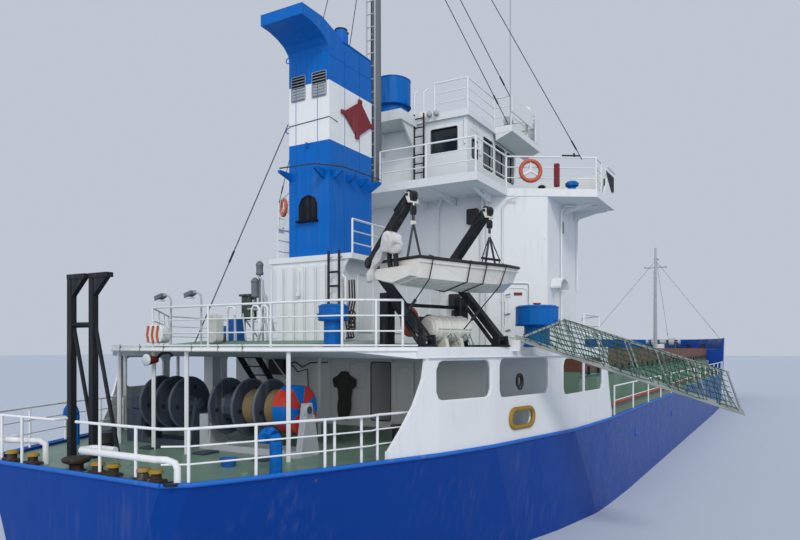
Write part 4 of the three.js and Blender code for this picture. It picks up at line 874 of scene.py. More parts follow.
def rounded(low: Span, high: Span, radius: float) -> list[Span]:
    """Give the outline of a rectangle with rounded corners.

    Args:
        low: Its lowest corner.
        high: Its highest corner.
        radius: The radius of its corners.

    Returns:
        Four points for each corner, from the highest one round.
    """
    (a0, b0), (a1, b1) = low, high
    corners = (
        (a1 - radius, b1 - radius, 0), (a0 + radius, b1 - radius, 90), (a0 + radius, b0 + radius, 180),
        (a1 - radius, b0 + radius, 270),
    )
    points = []
    for a, b, start in corners:
        for step in range(4):
            angle = math.radians(start + 30 * step)
            points.append((a + radius * math.cos(angle), b + radius * math.sin(angle)))
    return points


DECK_EDGE: tuple[Span, ...] = (
    (-0.12, 2.62), (0.2, 3.0), (1.2, 3.5), (2.5, 4.1), (4.0, 4.7), (5.2, 5.2), (5.7, 5.36), (7.1, 5.75),
    (8.9, 6.08), (11.1, 6.52), (14.6, 6.7), (20.0, 6.7), (57.0, 6.7), (63.0, 6.35),
)


def edge_run(low: float, high: float, inset: float, side: int = -1) -> list[Span]:
    """Give the deck's edge between two places, drawn in by an inset.

    Args:
        low: The aft end.
        high: The fore end.
        inset: How far inside the edge the line runs.
        side: -1 for starboard and 1 for port.

    Returns:
        Points of x and y from aft forward.
    """
    inner = [x for x, _ in DECK_EDGE if low < x < high]
    run = []
    for x in [low, *inner, high]:
        for (x0, y0), (x1, y1) in zip(DECK_EDGE, DECK_EDGE[1:]):
            if x0 <= x <= x1:
                half = y0 + (y1 - y0) * (x - x0) / (x1 - x0)
        run.append((x, side * (half - inset)))
    return run


# Rails


@dataclass(frozen=True)
class RailRun:
    """A guard rail: posts along a path, a top rail and lower rails."""

    path: tuple[Span, ...]
    floor: float
    height: float = 1.0
    spacing: float = 1.5
    middles: tuple[float, ...] = (0.34, 0.67)
    posts: tuple[Span, ...] = ()

    def feet(self) -> list[Span]:
        """Give the places of the posts, evenly spaced where the run names none."""
        if self.posts:
            return list(self.posts)
        places = [self.path[0]]
        for (x0, y0), (x1, y1) in zip(self.path, self.path[1:]):
            bays = max(1, round(math.hypot(x1 - x0, y1 - y0) / self.spacing))
            places += [
                (x0 + (x1 - x0) * bay / bays, y0 + (y1 - y0) * bay / bays) for bay in range(1, bays + 1)
            ]
        return places

    def build(self, name: str) -> bpy.types.Object:
        """Make the rail.

        Args:
            name: The object's name.

        Returns:
            One mesh of its posts and rails.
        """
        top = self.floor + self.height
        uprights = [[(x, y, self.floor), (x, y, top)] for x, y in self.feet()]
        lower = [[(x, y, self.floor + self.height * share) for x, y in self.path] for share in self.middles]
        made = [
            pipes(f"{name}_posts", uprights, 0.03),
            pipes(f"{name}_top", [[(x, y, top) for x, y in self.path]], 0.027),
        ]
        if lower:
            made.append(pipes(f"{name}_lower", lower, 0.017))
        return joined(name, made)


@dataclass
class GuardRails:
    """The guard rails of the superstructure's decks and of the main deck, in round pipe."""

    main_deck: float = 6.63

    def build(self) -> None:
        """Make every rail in place of the part's own."""
        for node, runs in self._runs().items():
            made = [run.build(f"{node}_{index}") for index, run in enumerate(runs)]
            dress(joined(f"round_{node}", made), Paint.PIPE_WHITE, instead_of=(node,))

    def _runs(self) -> dict[str, list[RailRun]]:
        """Give the rails of each node that they stand for."""
        boat_port = edge_run(7.2, 13.9, 0.12, side=1)[::-1]
        boat = (*boat_port, (3.8, 2.3), (3.8, -3.6), (4.2, -4.2), (4.5, -4.68))
        wing_starboard = ((9.46, -1.04), (9.46, -4.19), (11.81, -4.19), (13.36, -6.56), (14.0, -6.56))
        wing_port = ((14.0, 6.24), (13.36, 6.24), (11.81, 4.19), (9.46, 2.34), (9.46, 1.5))
        half = ((11.4, -1.9), (11.4, -3.07), (13.58, -3.07), (13.58, -3.67), (16.32, -3.67))
        compass = (*half, *[(x, -y) for x, y in half[::-1]])
        runs = {
            "rails_boat_deck": [RailRun(boat, LEVEL.boat, spacing=1.9)],
            "rails_boat_deck_fore": [RailRun(((12.6, -6.38), (14.2, -6.45), (15.5, -5.55)), LEVEL.boat)],
            "rails_bridge_deck": [
                RailRun(wing_port, LEVEL.bridge, spacing=1.9),
                RailRun(wing_starboard, LEVEL.bridge, spacing=1.9),
                RailRun(((9.46, 1.5), (9.46, -1.04)), LEVEL.bridge, 0.05, 3.0, ()),
            ],
            "rails_compass_deck": [RailRun(compass, LEVEL.roof, spacing=1.9)],
        }
        for side, sign in (("starboard", -1), ("port", 1)):
            path = ((15.6, sign * self.main_deck), (57.0, sign * self.main_deck), (61.2, sign * 6.4))
            rail = RailRun(path, LEVEL.gunwale, spacing=3.1, middles=(0.5,))
            runs[f"rails_main_deck_{side}"] = [rail]
        return runs


@dataclass
class SternRails:
    """The mooring deck's rails, the thick pipe guards over the transom and the fairlead rollers."""

    height: float = 0.93
    guard: float = 0.4
    tube: float = 0.062
    rim: float = -0.06

    def build(self) -> None:
        """Make the rails of each side in place of the part's own, then the rollers."""
        floor = LEVEL.gunwale
        runs = {
            "starboard": [
                self._rail(
                    ((5.04, -4.85), (3.85, -4.45), *edge_run(0.2, 3.6, 0.07)[::-1], (self.rim, -2.56)),
                    (
                        (5.04, -4.85), (3.85, -4.45), (3.45, -4.32), (2.83, -4.1), (2.57, -4.06),
                        (1.29, -3.47), (0.21, -2.93),
                    ),
                    (0.35, 0.68),
                ),
                self._rail(
                    ((self.rim, -2.56), (self.rim, -0.24)), ((self.rim, -1.92), (self.rim, -0.94)), ()
                ),
            ],
            "port": [
                self._rail(
                    ((4.82, 4.78), (3.85, 4.45), *edge_run(0.2, 3.6, 0.07, side=1)[::-1], (self.rim, 2.56)),
                    ((4.82, 4.78), (3.85, 4.45), (2.57, 4.06), (1.29, 3.47), (0.21, 2.93)),
                    (0.35, 0.68),
                ),
                self._rail(
                    ((self.rim, 2.56), (self.rim, 0.42), (0.24, 0.48)),
                    ((self.rim, 2.2), (self.rim, 1.49)),
                    (),
                ),
            ],
        }
        z = floor + self.guard
        guards = {
            "starboard": [
                [
                    (0.3, -0.9, z), (0.3, -0.4, z), (0.24, -0.3, z), (0.02, -0.3, z), (-0.05, -0.4, z),
                    (-0.05, -2.4, z), (0.02, -2.6, z), (0.08, -2.74, z - 0.05), (0.1, -2.78, z - 0.14),
                    (0.1, -2.78, floor),
                ],
            ],
            "port": [
                [
                    (0.02, 2.5, z), (0.34, 1.54, z), (0.4, 1.44, z - 0.06), (0.4, 1.43, z - 0.14),
                    (0.4, 1.43, 2.8),
                ],
                [(0.02, 2.5, z), (0.4, 2.62, z), (0.44, 2.42, z), (0.1, 2.3, z)],
            ],
        }
        for side, rails in runs.items():
            made = [rail.build(f"stern_{side}_{index}") for index, rail in enumerate(rails)]
            made.append(pipes(f"guard_{side}", guards[side], self.tube, turns=3))
            dress(joined(f"stern_guard_{side}", made), Paint.PIPE_WHITE, instead_of=(f"stern_rails_{side}",))
        self._rollers()

    def _rail(self, path: Sequence[Span], posts: Sequence[Span], middles: tuple[float, ...]) -> RailRun:
        """Give one run of the mooring deck's rails, along a path, with its posts and middle rails."""
        return RailRun(tuple(path), LEVEL.gunwale, self.height, 1.5, middles, tuple(posts))

    def _rollers(self) -> None:
        """Make the rollers on their sills, with yellow caps."""
        floor = LEVEL.gunwale
        places = [(0.0, y) for y in (-0.8, -1.24, -2.05, -2.37, 1.22, 1.94)]
        drum = turned(
            "roller", origin_point(),
            ((0.12, 0.03), (0.12, 0.05), (0.09, 0.07), (0.09, 0.14), (0.12, 0.16)), 20,
        )
        cap = turned("cap", origin_point(), ((0.125, 0.16), (0.125, 0.19), (0.1, 0.22), (0.03, 0.225)), 20)
        moves = [at((x, y, floor)) for x, y in places]
        dress(copies("fairlead_rollers", drum, moves), Paint.RUSTY)
        dress(copies("fairlead_caps", cap, moves), Paint.YELLOW)
        sills = [
            block((-0.1, y0, floor), (0.1, y1, floor + 0.06), 0.01)
            for y0, y1 in ((-2.55, -1.85), (-1.4, -0.62), (1.0, 1.4), (1.72, 2.16))
        ]
        dress(joined("fairlead_sills", sills), Paint.RUSTY)


# Hull and mooring deck


@dataclass
class HullTrim:
    """The light blue bar along the hull's edge, the mooring ports' frames and the drains' rims."""

    bar: float = 0.045
    port_low: Span = (7.75, 3.2)
    port_high: Span = (8.85, 3.65)
    drains: tuple[float, ...] = (19.0, 28.0, 37.0, 46.0, 55.0)
    drain_height: float = 1.9

    def build(self) -> None:
        """Make the bars, the frames and the rims on both sides."""
        z = LEVEL.gunwale - 0.02
        runs = []
        for side in (-1, 1):
            edge = edge_run(-0.12, 61.5, -0.01, side)
            runs.append([(x, y, z) for x, y in edge])
        runs.append([(-0.13, -2.62, z), (-0.13, 2.62, z)])
        dress(pipes("edge_bar", runs, self.bar), Paint.RUBBING)
        frames = []
        for side in (-1, 1):
            outline = rounded(self.port_low, self.port_high, 0.2)
            run = []
            for x, height in outline:
                (_, y), _ = edge_run(x, x + 0.01, 0.0, side)
                run.append((x, y, height))
            frames.append(run)
        dress(pipes("mooring_port_frames", frames, 0.06, closed=True, turns=3), Paint.YELLOW)
        rim = ((0.13, -0.02), (0.13, 0.03), (0.1, 0.03), (0.09, 0.0))
        scuttles = [
            turned("scuttle", (x, side * -6.71, self.drain_height), rim, 18, "Y")
            for side in (-1, 1)
            for x in self.drains
        ]
        dress(joined("freeing_ports", scuttles), Paint.RUBBING)


@dataclass
class MooringDeck:
    """The small gear of the mooring deck: chock, drum, tub, hawse, pads and sockets."""

    floor: float = 2.8
    chock: Span = (0.25, 0.2)
    drum: Span = (1.75, 1.5)
    tub: Span = (2.05, -2.05)
    hawse: Span = (0.02, -2.72)
    pads: tuple[Span, ...] = ((2.75, -2.35), (2.75, -0.6), (2.7, 1.1))
    pad: Point = (0.5, 0.35, 0.05)
    sockets: tuple[Span, ...] = ((1.1, -0.2), (1.6, -2.9), (2.4, 2.6))

    def build(self) -> None:
        """Make each fitting."""
        z = self.floor
        chock = turned(
            "mushroom_chock",
            (*self.chock, z),
            ((0.2, 0.0), (0.13, 0.03), (0.13, 0.12), (0.25, 0.17), (0.27, 0.22), (0.24, 0.26), (0.08, 0.28)),
        )
        dress(chock, Paint.RUSTY)
        drum = turned(
            "black_drum",
            (*self.drum, z),
            (
                (0.26, 0.0), (0.27, 0.03), (0.26, 0.05), (0.26, 0.26), (0.275, 0.28), (0.26, 0.3),
                (0.26, 0.5), (0.23, 0.5),
            ),
        )
        dress(drum, Paint.RUBBER)
        tub = turned(
            "blue_tub",
            (*self.tub, z),
            ((0.13, 0.0), (0.17, 0.14), (0.185, 0.15), (0.185, 0.17), (0.16, 0.17), (0.12, 0.02)),
        )
        dress(tub, Paint.TUB)
        hawse = turned(
            "quarter_hawse",
            (*self.hawse, LEVEL.gunwale),
            ((0.15, -0.02), (0.15, 0.02), (0.1, 0.03), (0.09, -0.01)),
        )
        dress(hawse, Paint.BLACK)
        long, wide, thick = self.pad
        pads = [block((x, y, z), (x + long, y + wide, z + thick), 0.01) for x, y in self.pads]
        dress(joined("winch_pads", pads), Paint.SLATE)
        leg = turned(
            "deck_socket", origin_point(), ((0.09, 0.0), (0.09, 0.02), (0.06, 0.03), (0.05, 0.01)), 16
        )
        dress(copies("deck_sockets", leg, [at((x, y, z)) for x, y in self.sockets]), Paint.GREEN)


@dataclass
class Winches:
    """Rims, collars, rope, bearings and drive of the mooring winches, and the starboard end's disc."""

    x: float = 3.8
    axis: float = 3.82
    flange: float = 0.65
    port: tuple[float, ...] = (0.95, 1.45, 1.98)
    starboard: tuple[float, ...] = (-0.35, -1.05, -1.68)
    disc: Span = (-2.13, -0.41)
    disc_radius: float = 0.535
    lay: float = 0.07
    ropes: tuple[tuple[str, str, float, float, float], ...] = (
        ("rope_starboard_outer", "starboard", -2.13, -1.68, 0.44),
        ("rope_starboard_middle", "starboard", -1.68, -1.05, 0.42),
        ("rope_port", "port", 0.95, 1.45, 0.34),
    )

    def build(self) -> None:
        """Dress both winches."""
        for side, flanges in (("port", self.port), ("starboard", self.starboard)):
            self._flanges(side, flanges)
        for name, side, low, high, radius in self.ropes:
            self._rope(name, low, high, radius, f"drums_{side}")
        self._sectors()
        self._bearings()
        self._drive()

    def _flanges(self, side: str, flanges: Sequence[float]) -> None:
        """Make a raised rim, a collar and lightening holes on each flange.

        Args:
            side: Which winch, port or starboard.
            flanges: Where its flanges stand across the ship.
        """
        body = f"drums_{side}"
        rim = pipes("rim", [arc(origin_point(), self.flange - 0.02, "Y", steps=36)], 0.035, closed=True)
        places = [at((self.x, y, self.axis)) for y in flanges]
        dress(copies(f"winch_rims_{side}", rim, places), Paint.SLATE_WORN, body)
        collar = turned(
            "collar", origin_point(), ((0.2, -0.07), (0.2, 0.05), (0.16, 0.07), (0.1, 0.07)), 24, "Y"
        )
        dress(copies(f"winch_collars_{side}", collar, places), Paint.SLATE_WORN, body)
        hole = turned(
            "hole", origin_point((0, 0, 0.42)), ((0.055, -0.034), (0.055, 0.034), (0.04, 0.034)), 14, "Y"
        )
        turns = [
            place @ Matrix.Rotation(math.radians(angle), 4, "Y")
            for place in places
            for angle in (20, 140, 260)
        ]
        dress(copies(f"winch_holes_{side}", hole, turns), Paint.DARK, body)

    def _rope(self, name: str, low: float, high: float, radius: float, body: str) -> None:
        """Wind a drum with rope, turn beside turn.

        Args:
            name: The rope's name.
            low: The drum's starboard end.
            high: Its port end.
            radius: The radius over the rope.
            body: The winch's body.
        """
        lay = self.lay
        count = int((high - low - 0.1) / lay)
        profile = [(radius - 0.05, low + 0.04)]
        for index in range(count):
            start = low + 0.05 + index * lay
            profile += [(radius - 0.02, start), (radius, start + lay * 0.3), (radius, start + lay * 0.7)]
        profile.append((radius - 0.05, low + 0.05 + count * lay))
        dress(turned(name, (self.x, 0, self.axis), profile, 40, "Y"), Paint.ROPE, body)

    def _sectors(self) -> None:
        """Make the end drum's painted face of eight sectors, red and blue in turn."""
        for name, start, paint in (("red", 45, Paint.RED), ("blue", 0, Paint.BLUE)):
            rim = arc(origin_point(), self.disc_radius, "Y", start, start + 45, 6)
            sector = slab("sector", [origin_point(), *rim], (0, self.disc[1], 0), 0.004)
            places = [
                at((self.x, self.disc[0], self.axis)) @ Matrix.Rotation(math.radians(angle), 4, "Y")
                for angle in (11, 101, 191, 281)
            ]
            dress(copies(f"winch_disc_{name}", sector, places), paint, "drums_starboard")

    def _bearings(self) -> None:
        """Make the bearings' caps and feet on the pedestals, and the starboard pedestal's ribs."""
        for side, paint, places in (
            ("port", Paint.SLATE, (0.62, 2.35)),
            ("starboard", Paint.GREY, (-2.66, 0.02)),
        ):
            cap = turned(
                "cap", origin_point(),
                ((0.13, -0.075), (0.15, -0.06), (0.15, 0.06), (0.13, 0.075), (0.12, 0.075)), 20, "Y",
            )
            ring = copies(f"bearing_caps_{side}", cap, [at((self.x, y, self.axis)) for y in places])
            feet = [
                block((self.x + dx - 0.05, y - 0.1, 2.8), (self.x + dx + 0.05, y + 0.1, 2.86), 0.008)
                for y in places
                for dx in (-0.27, 0.27)
            ]
            dress(joined(f"bearings_{side}", [ring, *feet]), paint)
        stiffeners = [
            slab(
                "stiffener",
                (
                    (self.x + dx, -2.71, 2.82), (self.x + dx * 0.45, -2.71, 3.7),
                    (self.x + dx * 0.25, -2.71, 3.7),
                ),
                (0, -0.05, 0),
            )
            for dx in (-0.33, 0.33)
        ]
        dress(joined("pedestal_ribs", stiffeners), Paint.GREY)

    def _drive(self) -> None:
        """Make the port winch's gear case and motor."""
        case = block((3.55, 2.4, 3.6), (4.05, 2.86, 4.0), 0.05, "gear_case")
        dress(case, Paint.SLATE)
        motor = turned(
            "winch_motor", (4.1, 2.62, 3.35), ((0.17, 0.0), (0.19, 0.04), (0.19, 0.4), (0.12, 0.46)), 24,
            "X",
        )
        dress(motor, Paint.GREY)


# Boat deck and what stands under it


@dataclass
class AwningEdge:
    """The pipes along the awning's after edge, with lashings round them."""

    corners: tuple[Span, ...] = ((4.62, 4.98), (2.63, 2.34), (2.63, -2.34), (4.62, -4.98))

    def build(self) -> None:
        """Make the two pipes and the lashings."""
        lower = [(x, y, 5.13) for x, y in self.corners]
        upper = [(x, y, 5.235) for x, y in self.corners]
        made = [pipes("lower", [lower], 0.035), pipes("upper", [upper], 0.018)]
        dress(joined("awning_pipes", made), Paint.PIPE_WHITE)
        turns = [
            [(2.6, y, 5.1), (2.62, y + 0.02, 5.26), (2.7, y + 0.04, 5.1)]
            for y in (-1.9, -1.2, -0.4, 0.5, 1.3, 2.0)
        ]
        dress(pipes("awning_lashings", turns, 0.012), Paint.ROPE)


@dataclass
class LowerHouse:
    """Doors' frames, clips, cables and gear on the lower deckhouse's after wall and under the awning."""

    wall: float = 9.2
    proud: float = 0.04

    def build(self) -> None:
        """Make each group of fittings."""
        self._door()
        self._cables()
        self._coat()
        self._panels()

    def _door(self) -> None:
        """Make the doorway's gasket, the edge of its leaf, hooked back open, and the leaf's clips."""
        gasket = self._on_wall(rounded((-1.6, 3.0), (-0.9, 4.75), 0.08))
        dress(pipes("door_gasket", [gasket], 0.018, closed=True), Paint.RUBBER)
        leaf = [(self.wall - 0.125, y, z) for y, z in rounded((-2.29, 3.15), (-1.82, 4.6), 0.1)]
        made = [pipes("leaf_edge", [leaf], 0.018, closed=True)]
        for height in (3.35, 4.3):
            low = (self.wall - 0.15, -2.26, height)
            made.append(block(low, (self.wall - 0.12, -2.08, height + 0.04), 0.005))
        dress(joined("leaf_fittings", made), Paint.WHITE, "door_aft")

    def _cables(self) -> None:
        """Make the switch box, its two cables and the small hatch beside the door."""
        dress(block((self.wall - 0.2, 2.37, 4.3), (self.wall, 3.0, 4.8), 0.02, "switch_box"), Paint.RUBBER)
        cables = [
            self._on_wall(((2.37, 4.62), (2.0, 4.72), (1.7, 4.55), (1.4, 4.7), (0.7, 4.72))),
            self._on_wall(((2.37, 4.5), (2.1, 4.6), (1.9, 4.4), (1.5, 4.5), (1.42, 2.9))),
        ]
        dress(pipes("wall_cables", cables, 0.018), Paint.RUBBER)
        hatch = [(self.wall - 0.01, y, z) for y, z in rounded((-0.66, 3.95), (-0.1, 4.72), 0.1)]
        dress(pipes("wall_hatch", [hatch], 0.02, closed=True), Paint.WHITE)

    def _coat(self) -> None:
        """Hang the working coat from its bar."""
        dress(hung_coat(self.wall - 0.05), Paint.CANVAS_DARK)
        bar = block((self.wall - 0.06, -0.5, 4.32), (self.wall - 0.02, 0.3, 4.36), 0.008, "coat_bar")
        dress(bar, Paint.WHITE)

    def _panels(self) -> None:
        """Make the wall's panels and the handrails of the stair up through the awning."""
        panels = [
            block((self.wall - 0.03, y0, 2.9), (self.wall, y1, 4.9), 0.01)
            for y0, y1 in ((-4.5, -3.7), (-3.6, -2.8), (0.6, 1.3), (3.2, 3.9), (4.0, 4.5))
        ]
        dress(joined("wall_panels", panels), Paint.WHITE)
        slope = ((6.45, 6.0), (8.75, 3.75), (8.95, 3.7), (8.95, 2.82))
        rail = [[(x, y, z) for x, z in slope] for y in (1.62, 2.38)]
        dress(pipes("stair_handrails", rail, 0.022), Paint.PIPE_WHITE)

    def _on_wall(self, places: Sequence[Span]) -> list[Point]:
        """Give points just off the after wall at places of y and z."""
        return [(self.wall - self.proud, y, z) for y, z in places]


COAT_OUTLINE: tuple[Span, ...] = (
    (0.12, 4.46), (0.2, 4.36), (0.44, 4.22), (0.4, 3.98), (0.24, 3.92), (0.22, 3.62), (0.26, 3.3),
    (0.2, 2.98), (-0.08, 2.96), (-0.2, 3.3), (-0.2, 3.6), (-0.24, 3.9), (-0.38, 4.0), (-0.4, 4.2),
    (-0.16, 4.34), (-0.08, 4.46),
)


def hung_coat(x: float) -> bpy.types.Object:
    """Make a coat on its hook: an outline with shoulders and a narrow skirt, subdivided and creased.

    Args:
        x: The wall's place.

    Returns:
        A closed mesh.
    """
    piece = slab("hung_coat", [(x, y, z) for y, z in COAT_OUTLINE], (-0.13, 0, 0), 0.03)

    def crease() -> None:
        """Cut the faces into small triangles and let them fold."""
        bpy.ops.mesh.quads_convert_to_tris()
        bpy.ops.mesh.subdivide(number_cuts=3, smoothness=0.4, fractal=0.3, seed=3)

    return smooth(edit(piece, crease), 60)


@dataclass
class BoatDeckGear:
    """Vents' fittings, lamps, lockers, bags and rope on the boat deck, and every lifebuoy.

    Each of the vents has its name, centre, neck's radius, drum's radius, drum's heights and foot. Each of the
    lifebuoys has its name, centre, turn in degrees and radius.
    """

    deck: float = 5.2
    vents: tuple[tuple[str, Span, float, float, Span, float], ...] = (
        ("aft", (4.3, -3.02), 0.22, 0.335, (5.78, 6.1), LEVEL.boat),
        ("side", (10.55, -5.6), 0.36, 0.6, (5.8, 6.32), LEVEL.boat),
        ("roof", (10.92, -0.6), 0.5, 0.6, (12.95, 13.82), LEVEL.roof),
    )
    lifebuoys: tuple[tuple[str, Point, float, float], ...] = (
        ("boat_deck", (5.6, -4.24, 5.78), 4.0, 0.29),
        ("bridge", (12.14, -4.86, 10.66), 57.0, 0.31),
        ("bridge_port", (12.6, 5.35, 10.66), -57.0, 0.31),
    )

    def build(self) -> None:
        """Make each group of gear."""
        self._vent_bands()
        self._vent_wheel()
        self._floodlights()
        self._red_lamp()
        self._lanterns()
        self._lockers()
        self._bags()
        self._hoops()
        self._ropes()
        self._lifebuoys()

    def _vent_bands(self) -> None:
        """Make the bands and lugs of the mushroom vents."""
        for name, (x, y), neck, drum, (low, high), foot in self.vents:
            rings = [
                pipes("band", [arc((x, y, low + 0.03), drum, "Z", steps=40)], 0.018, closed=True),
                pipes("band", [arc((x, y, high), drum - 0.01, "Z", steps=40)], 0.02, closed=True),
                pipes("band", [arc((x, y, foot + 0.04), neck + 0.01, "Z", steps=40)], 0.03, closed=True),
            ]
            dress(joined(f"vent_bands_{name}", rings), Paint.BLUE)
            lugs = []
            for angle in (20, 140, 260):
                (lx, ly, _), *_ = arc((x, y, 0), drum, "Z", angle, angle + 10, 1)
                lugs.append(
                    block((lx - 0.03, ly - 0.03, low + 0.06), (lx + 0.03, ly + 0.03, low + 0.16), 0.006)
                )
            dress(joined(f"vent_lugs_{name}", lugs), Paint.BLUE)

    def _vent_wheel(self) -> None:
        """Make the red handwheel on top of the side vent."""
        x, y, top = 10.55, -5.6, 6.38
        hub = turned("hub", (x, y, top - 0.02), ((0.05, 0.0), (0.05, 0.06), (0.02, 0.08)), 14)
        wheel = pipes("wheel", [arc((x, y, top + 0.05), 0.1, "Z", steps=24)], 0.02, closed=True)
        ends = arc((x, y, top + 0.05), 0.1, "Z", steps=4)
        spokes = pipes("spokes", [[(x, y, top + 0.05), end] for end in ends], 0.014)
        dress(joined("vent_wheel", [hub, wheel, spokes]), Paint.RED)

    def _floodlights(self) -> None:
        """Make the two swan-neck floodlights on the deck's after edge."""
        stems, heads, glasses = [], [], []
        x = 3.9
        for y, top in ((1.74, 6.52), (0.67, 6.55)):
            bend = [
                (x, y + 0.16 - 0.16 * math.cos(t), top - 0.16 + 0.16 * math.sin(t))
                for t in (0.0, 0.5, 1.0, 1.57)
            ]
            stems.append([(x, y, self.deck), *bend, (x, y + 0.3, top)])
            heads.append(
                slab(
                    "head",
                    (
                        (x - 0.1, y + 0.26, top + 0.05), (x - 0.1, y + 0.52, top - 0.02),
                        (x - 0.1, y + 0.5, top - 0.14), (x - 0.1, y + 0.26, top - 0.05),
                    ),
                    (0.2, 0, 0),
                    0.012,
                )
            )
            glasses.append(block((x - 0.08, y + 0.3, top - 0.15), (x + 0.08, y + 0.48, top - 0.11), 0.004))
        dress(pipes("floodlight_stems", stems, 0.024), Paint.GREY)
        dress(joined("floodlight_heads", heads), Paint.MAST)
        dress(joined("floodlight_glasses", glasses), Paint.LAMP)

    def _red_lamp(self) -> None:
        """Make the red lamp under the awning's edge, with its lens and arm."""
        shape = ((0.13, -0.16), (0.12, -0.1), (0.09, 0.02), (0.07, 0.14), (0.05, 0.16))
        dress(turned("red_lamp", (2.72, 1.02, 4.9), shape, 24, "X"), Paint.LOCKER_RED)
        lens = turned(
            "red_lamp_lens", (2.72, 1.02, 4.9),
            ((0.05, -0.21), (0.12, -0.19), (0.14, -0.17), (0.14, -0.15)), 24, "X",
        )
        dress(lens, Paint.LAMP)
        arm = [[(2.84, 1.0, 4.93), (2.8, 0.8, 5.05), (2.72, 0.45, 5.07), (2.74, 0.36, 5.0)]]
        dress(pipes("red_lamp_arm", arm, 0.035), Paint.BLACK)

    def _lanterns(self) -> None:
        """Make the two lanterns and the pipe frame that holds them."""
        z = self.deck + CAMBER
        lanterns = []
        for y, foot, low, high, radius in ((0.93, 6.2, 6.56, 7.11, 0.12), (0.76, 6.2, 7.17, 7.56, 0.11)):
            shape = (
                (0.03, foot - low), (0.03, 0.0), (radius * 0.8, 0.0), (radius, 0.04), (radius * 0.85, 0.1),
                (radius * 0.85, high - low - 0.14), (radius, high - low - 0.12),
                (radius * 0.8, high - low - 0.06), (radius * 0.3, high - low),
            )
            lanterns.append(turned("lantern", (6.1, y, low), shape, 20))
        dress(joined("lanterns", lanterns), Paint.MAST)
        frame = [
            [(6.05, 0.6, z), (6.05, 0.6, 7.0), (6.05, 0.78, 7.16)],
            [(6.05, 0.95, z), (6.05, 0.95, 6.5)],
            [(6.0, 0.55, 6.2), (6.0, 1.1, 6.25)],
            [(6.0, 0.35, 5.9), (6.05, 0.62, 6.9)],
            [(6.0, 0.15, 5.6), (6.05, 0.5, 6.6)],
        ]
        dress(pipes("lantern_frame", frame, 0.03), Paint.GREY)

    def _lockers(self) -> None:
        """Make the green locker with its lid, the blue one and the blue drum."""
        z = self.deck + CAMBER
        dress(block((6.0, 1.02, 5.95), (6.3, 1.36, 6.62), 0.03, "green_locker"), Paint.LOCKER)
        dress(block((5.96, 0.98, 6.6), (6.34, 1.4, 6.66), 0.01, "green_locker_lid"), Paint.LOCKER)
        dress(block((5.85, 1.38, z - 0.12), (6.25, 1.78, 6.0), 0.03, "blue_locker"), Paint.TUB)
        dress(
            turned(
                "blue_drum", (5.9, 2.0, z - 0.14), ((0.2, 0.0), (0.22, 0.04), (0.22, 0.5), (0.18, 0.56)), 24
            ),
            Paint.TUB,
        )

    def _bags(self) -> None:
        """Make the grey bag, and the white one with its orange bands."""
        for name, x, low, high, radius, paint in (
            ("grey_bag", 4.5, (0.8, 5.3), (1.12, 6.05), 0.12, Paint.CANVAS),
            ("striped_bag", 3.75, (1.9, 5.3), (2.5, 5.76), 0.14, Paint.PIPE_WHITE),
        ):
            face = [(x, y, z) for y, z in rounded(low, high, radius)]
            dress(slab(name, face, (0.3, 0, 0), 0.03), paint)
        bands = [[(3.735, y, 5.32), (3.735, y + 0.05, 5.5), (3.735, y, 5.74)] for y in (2.02, 2.2, 2.38)]
        dress(pipes("striped_bag_bands", bands, 0.03), Paint.ORANGE)

    def _hoops(self) -> None:
        """Make the bent pipe hoops and the leaning struts at the casing's after end."""
        z = self.deck + CAMBER
        hoops = []
        for y, wide in ((1.29, 0.28), (0.13, 0.22), (0.42, 0.26)):
            x, top = 5.7, 6.3
            sides = [(x, y, z), (x, y, top - 0.07), (x, y + 0.07, top), (x, y + wide - 0.07, top)]
            hoops.append([*sides, (x, y + wide, top - 0.07), (x, y + wide, z)])
        dress(pipes("pipe_hoops", hoops, 0.03), Paint.PIPE_WHITE)
        struts = [
            [(5.55, y, z), (5.7, y + lean, 6.1)]
            for y, lean in ((0.0, 0.2), (0.35, -0.2), (0.75, 0.25), (1.1, 0.2))
        ]
        dress(pipes("pipe_struts", struts, 0.026), Paint.GREY)

    def _ropes(self) -> None:
        """Make the coil of rope on deck and the hoses hung on the casing."""
        turns = [arc((5.3, 1.55, self.deck + 0.13 + 0.05 * turn), 0.2, "Z", steps=20) for turn in range(4)]
        dress(pipes("rope_coil", turns, 0.028, closed=True), Paint.ROPE)
        hoses = [
            [
                (5.78, y, 6.85), (5.74, y - 0.05, 6.3), (5.72, y + 0.06, 5.8), (5.74, y - 0.02, 5.45),
                (5.76, y + 0.08, 5.42),
            ]
            for y in (-2.42, -2.5, -2.57)
        ]
        coils = [arc((5.78, -2.5, height), 0.1, "X", steps=16) for height in (5.7, 5.78, 5.9, 6.0)]
        dress(pipes("casing_hoses", [*hoses, *coils], 0.022), Paint.RUSTY)

    def _lifebuoys(self) -> None:
        """Make the lifebuoys. The bridge deck's two stand on forked white brackets."""
        for name, centre, turn, radius in self.lifebuoys:
            place = at(centre, 90 - turn)
            ring = pipes("ring", [arc(origin_point(), radius, "X", steps=36)], 0.064, closed=True, turns=4)
            dress(copies(f"lifebuoy_{name}", ring, [place]), Paint.ORANGE)
            if name == "boat_deck":
                continue
            fork = [[origin_point(), point] for point in arc(origin_point(), radius, "X", 90, 450, 3)]
            dress(copies(f"lifebuoy_fork_{name}", pipes("fork", fork, 0.035), [place]), Paint.PIPE_WHITE)


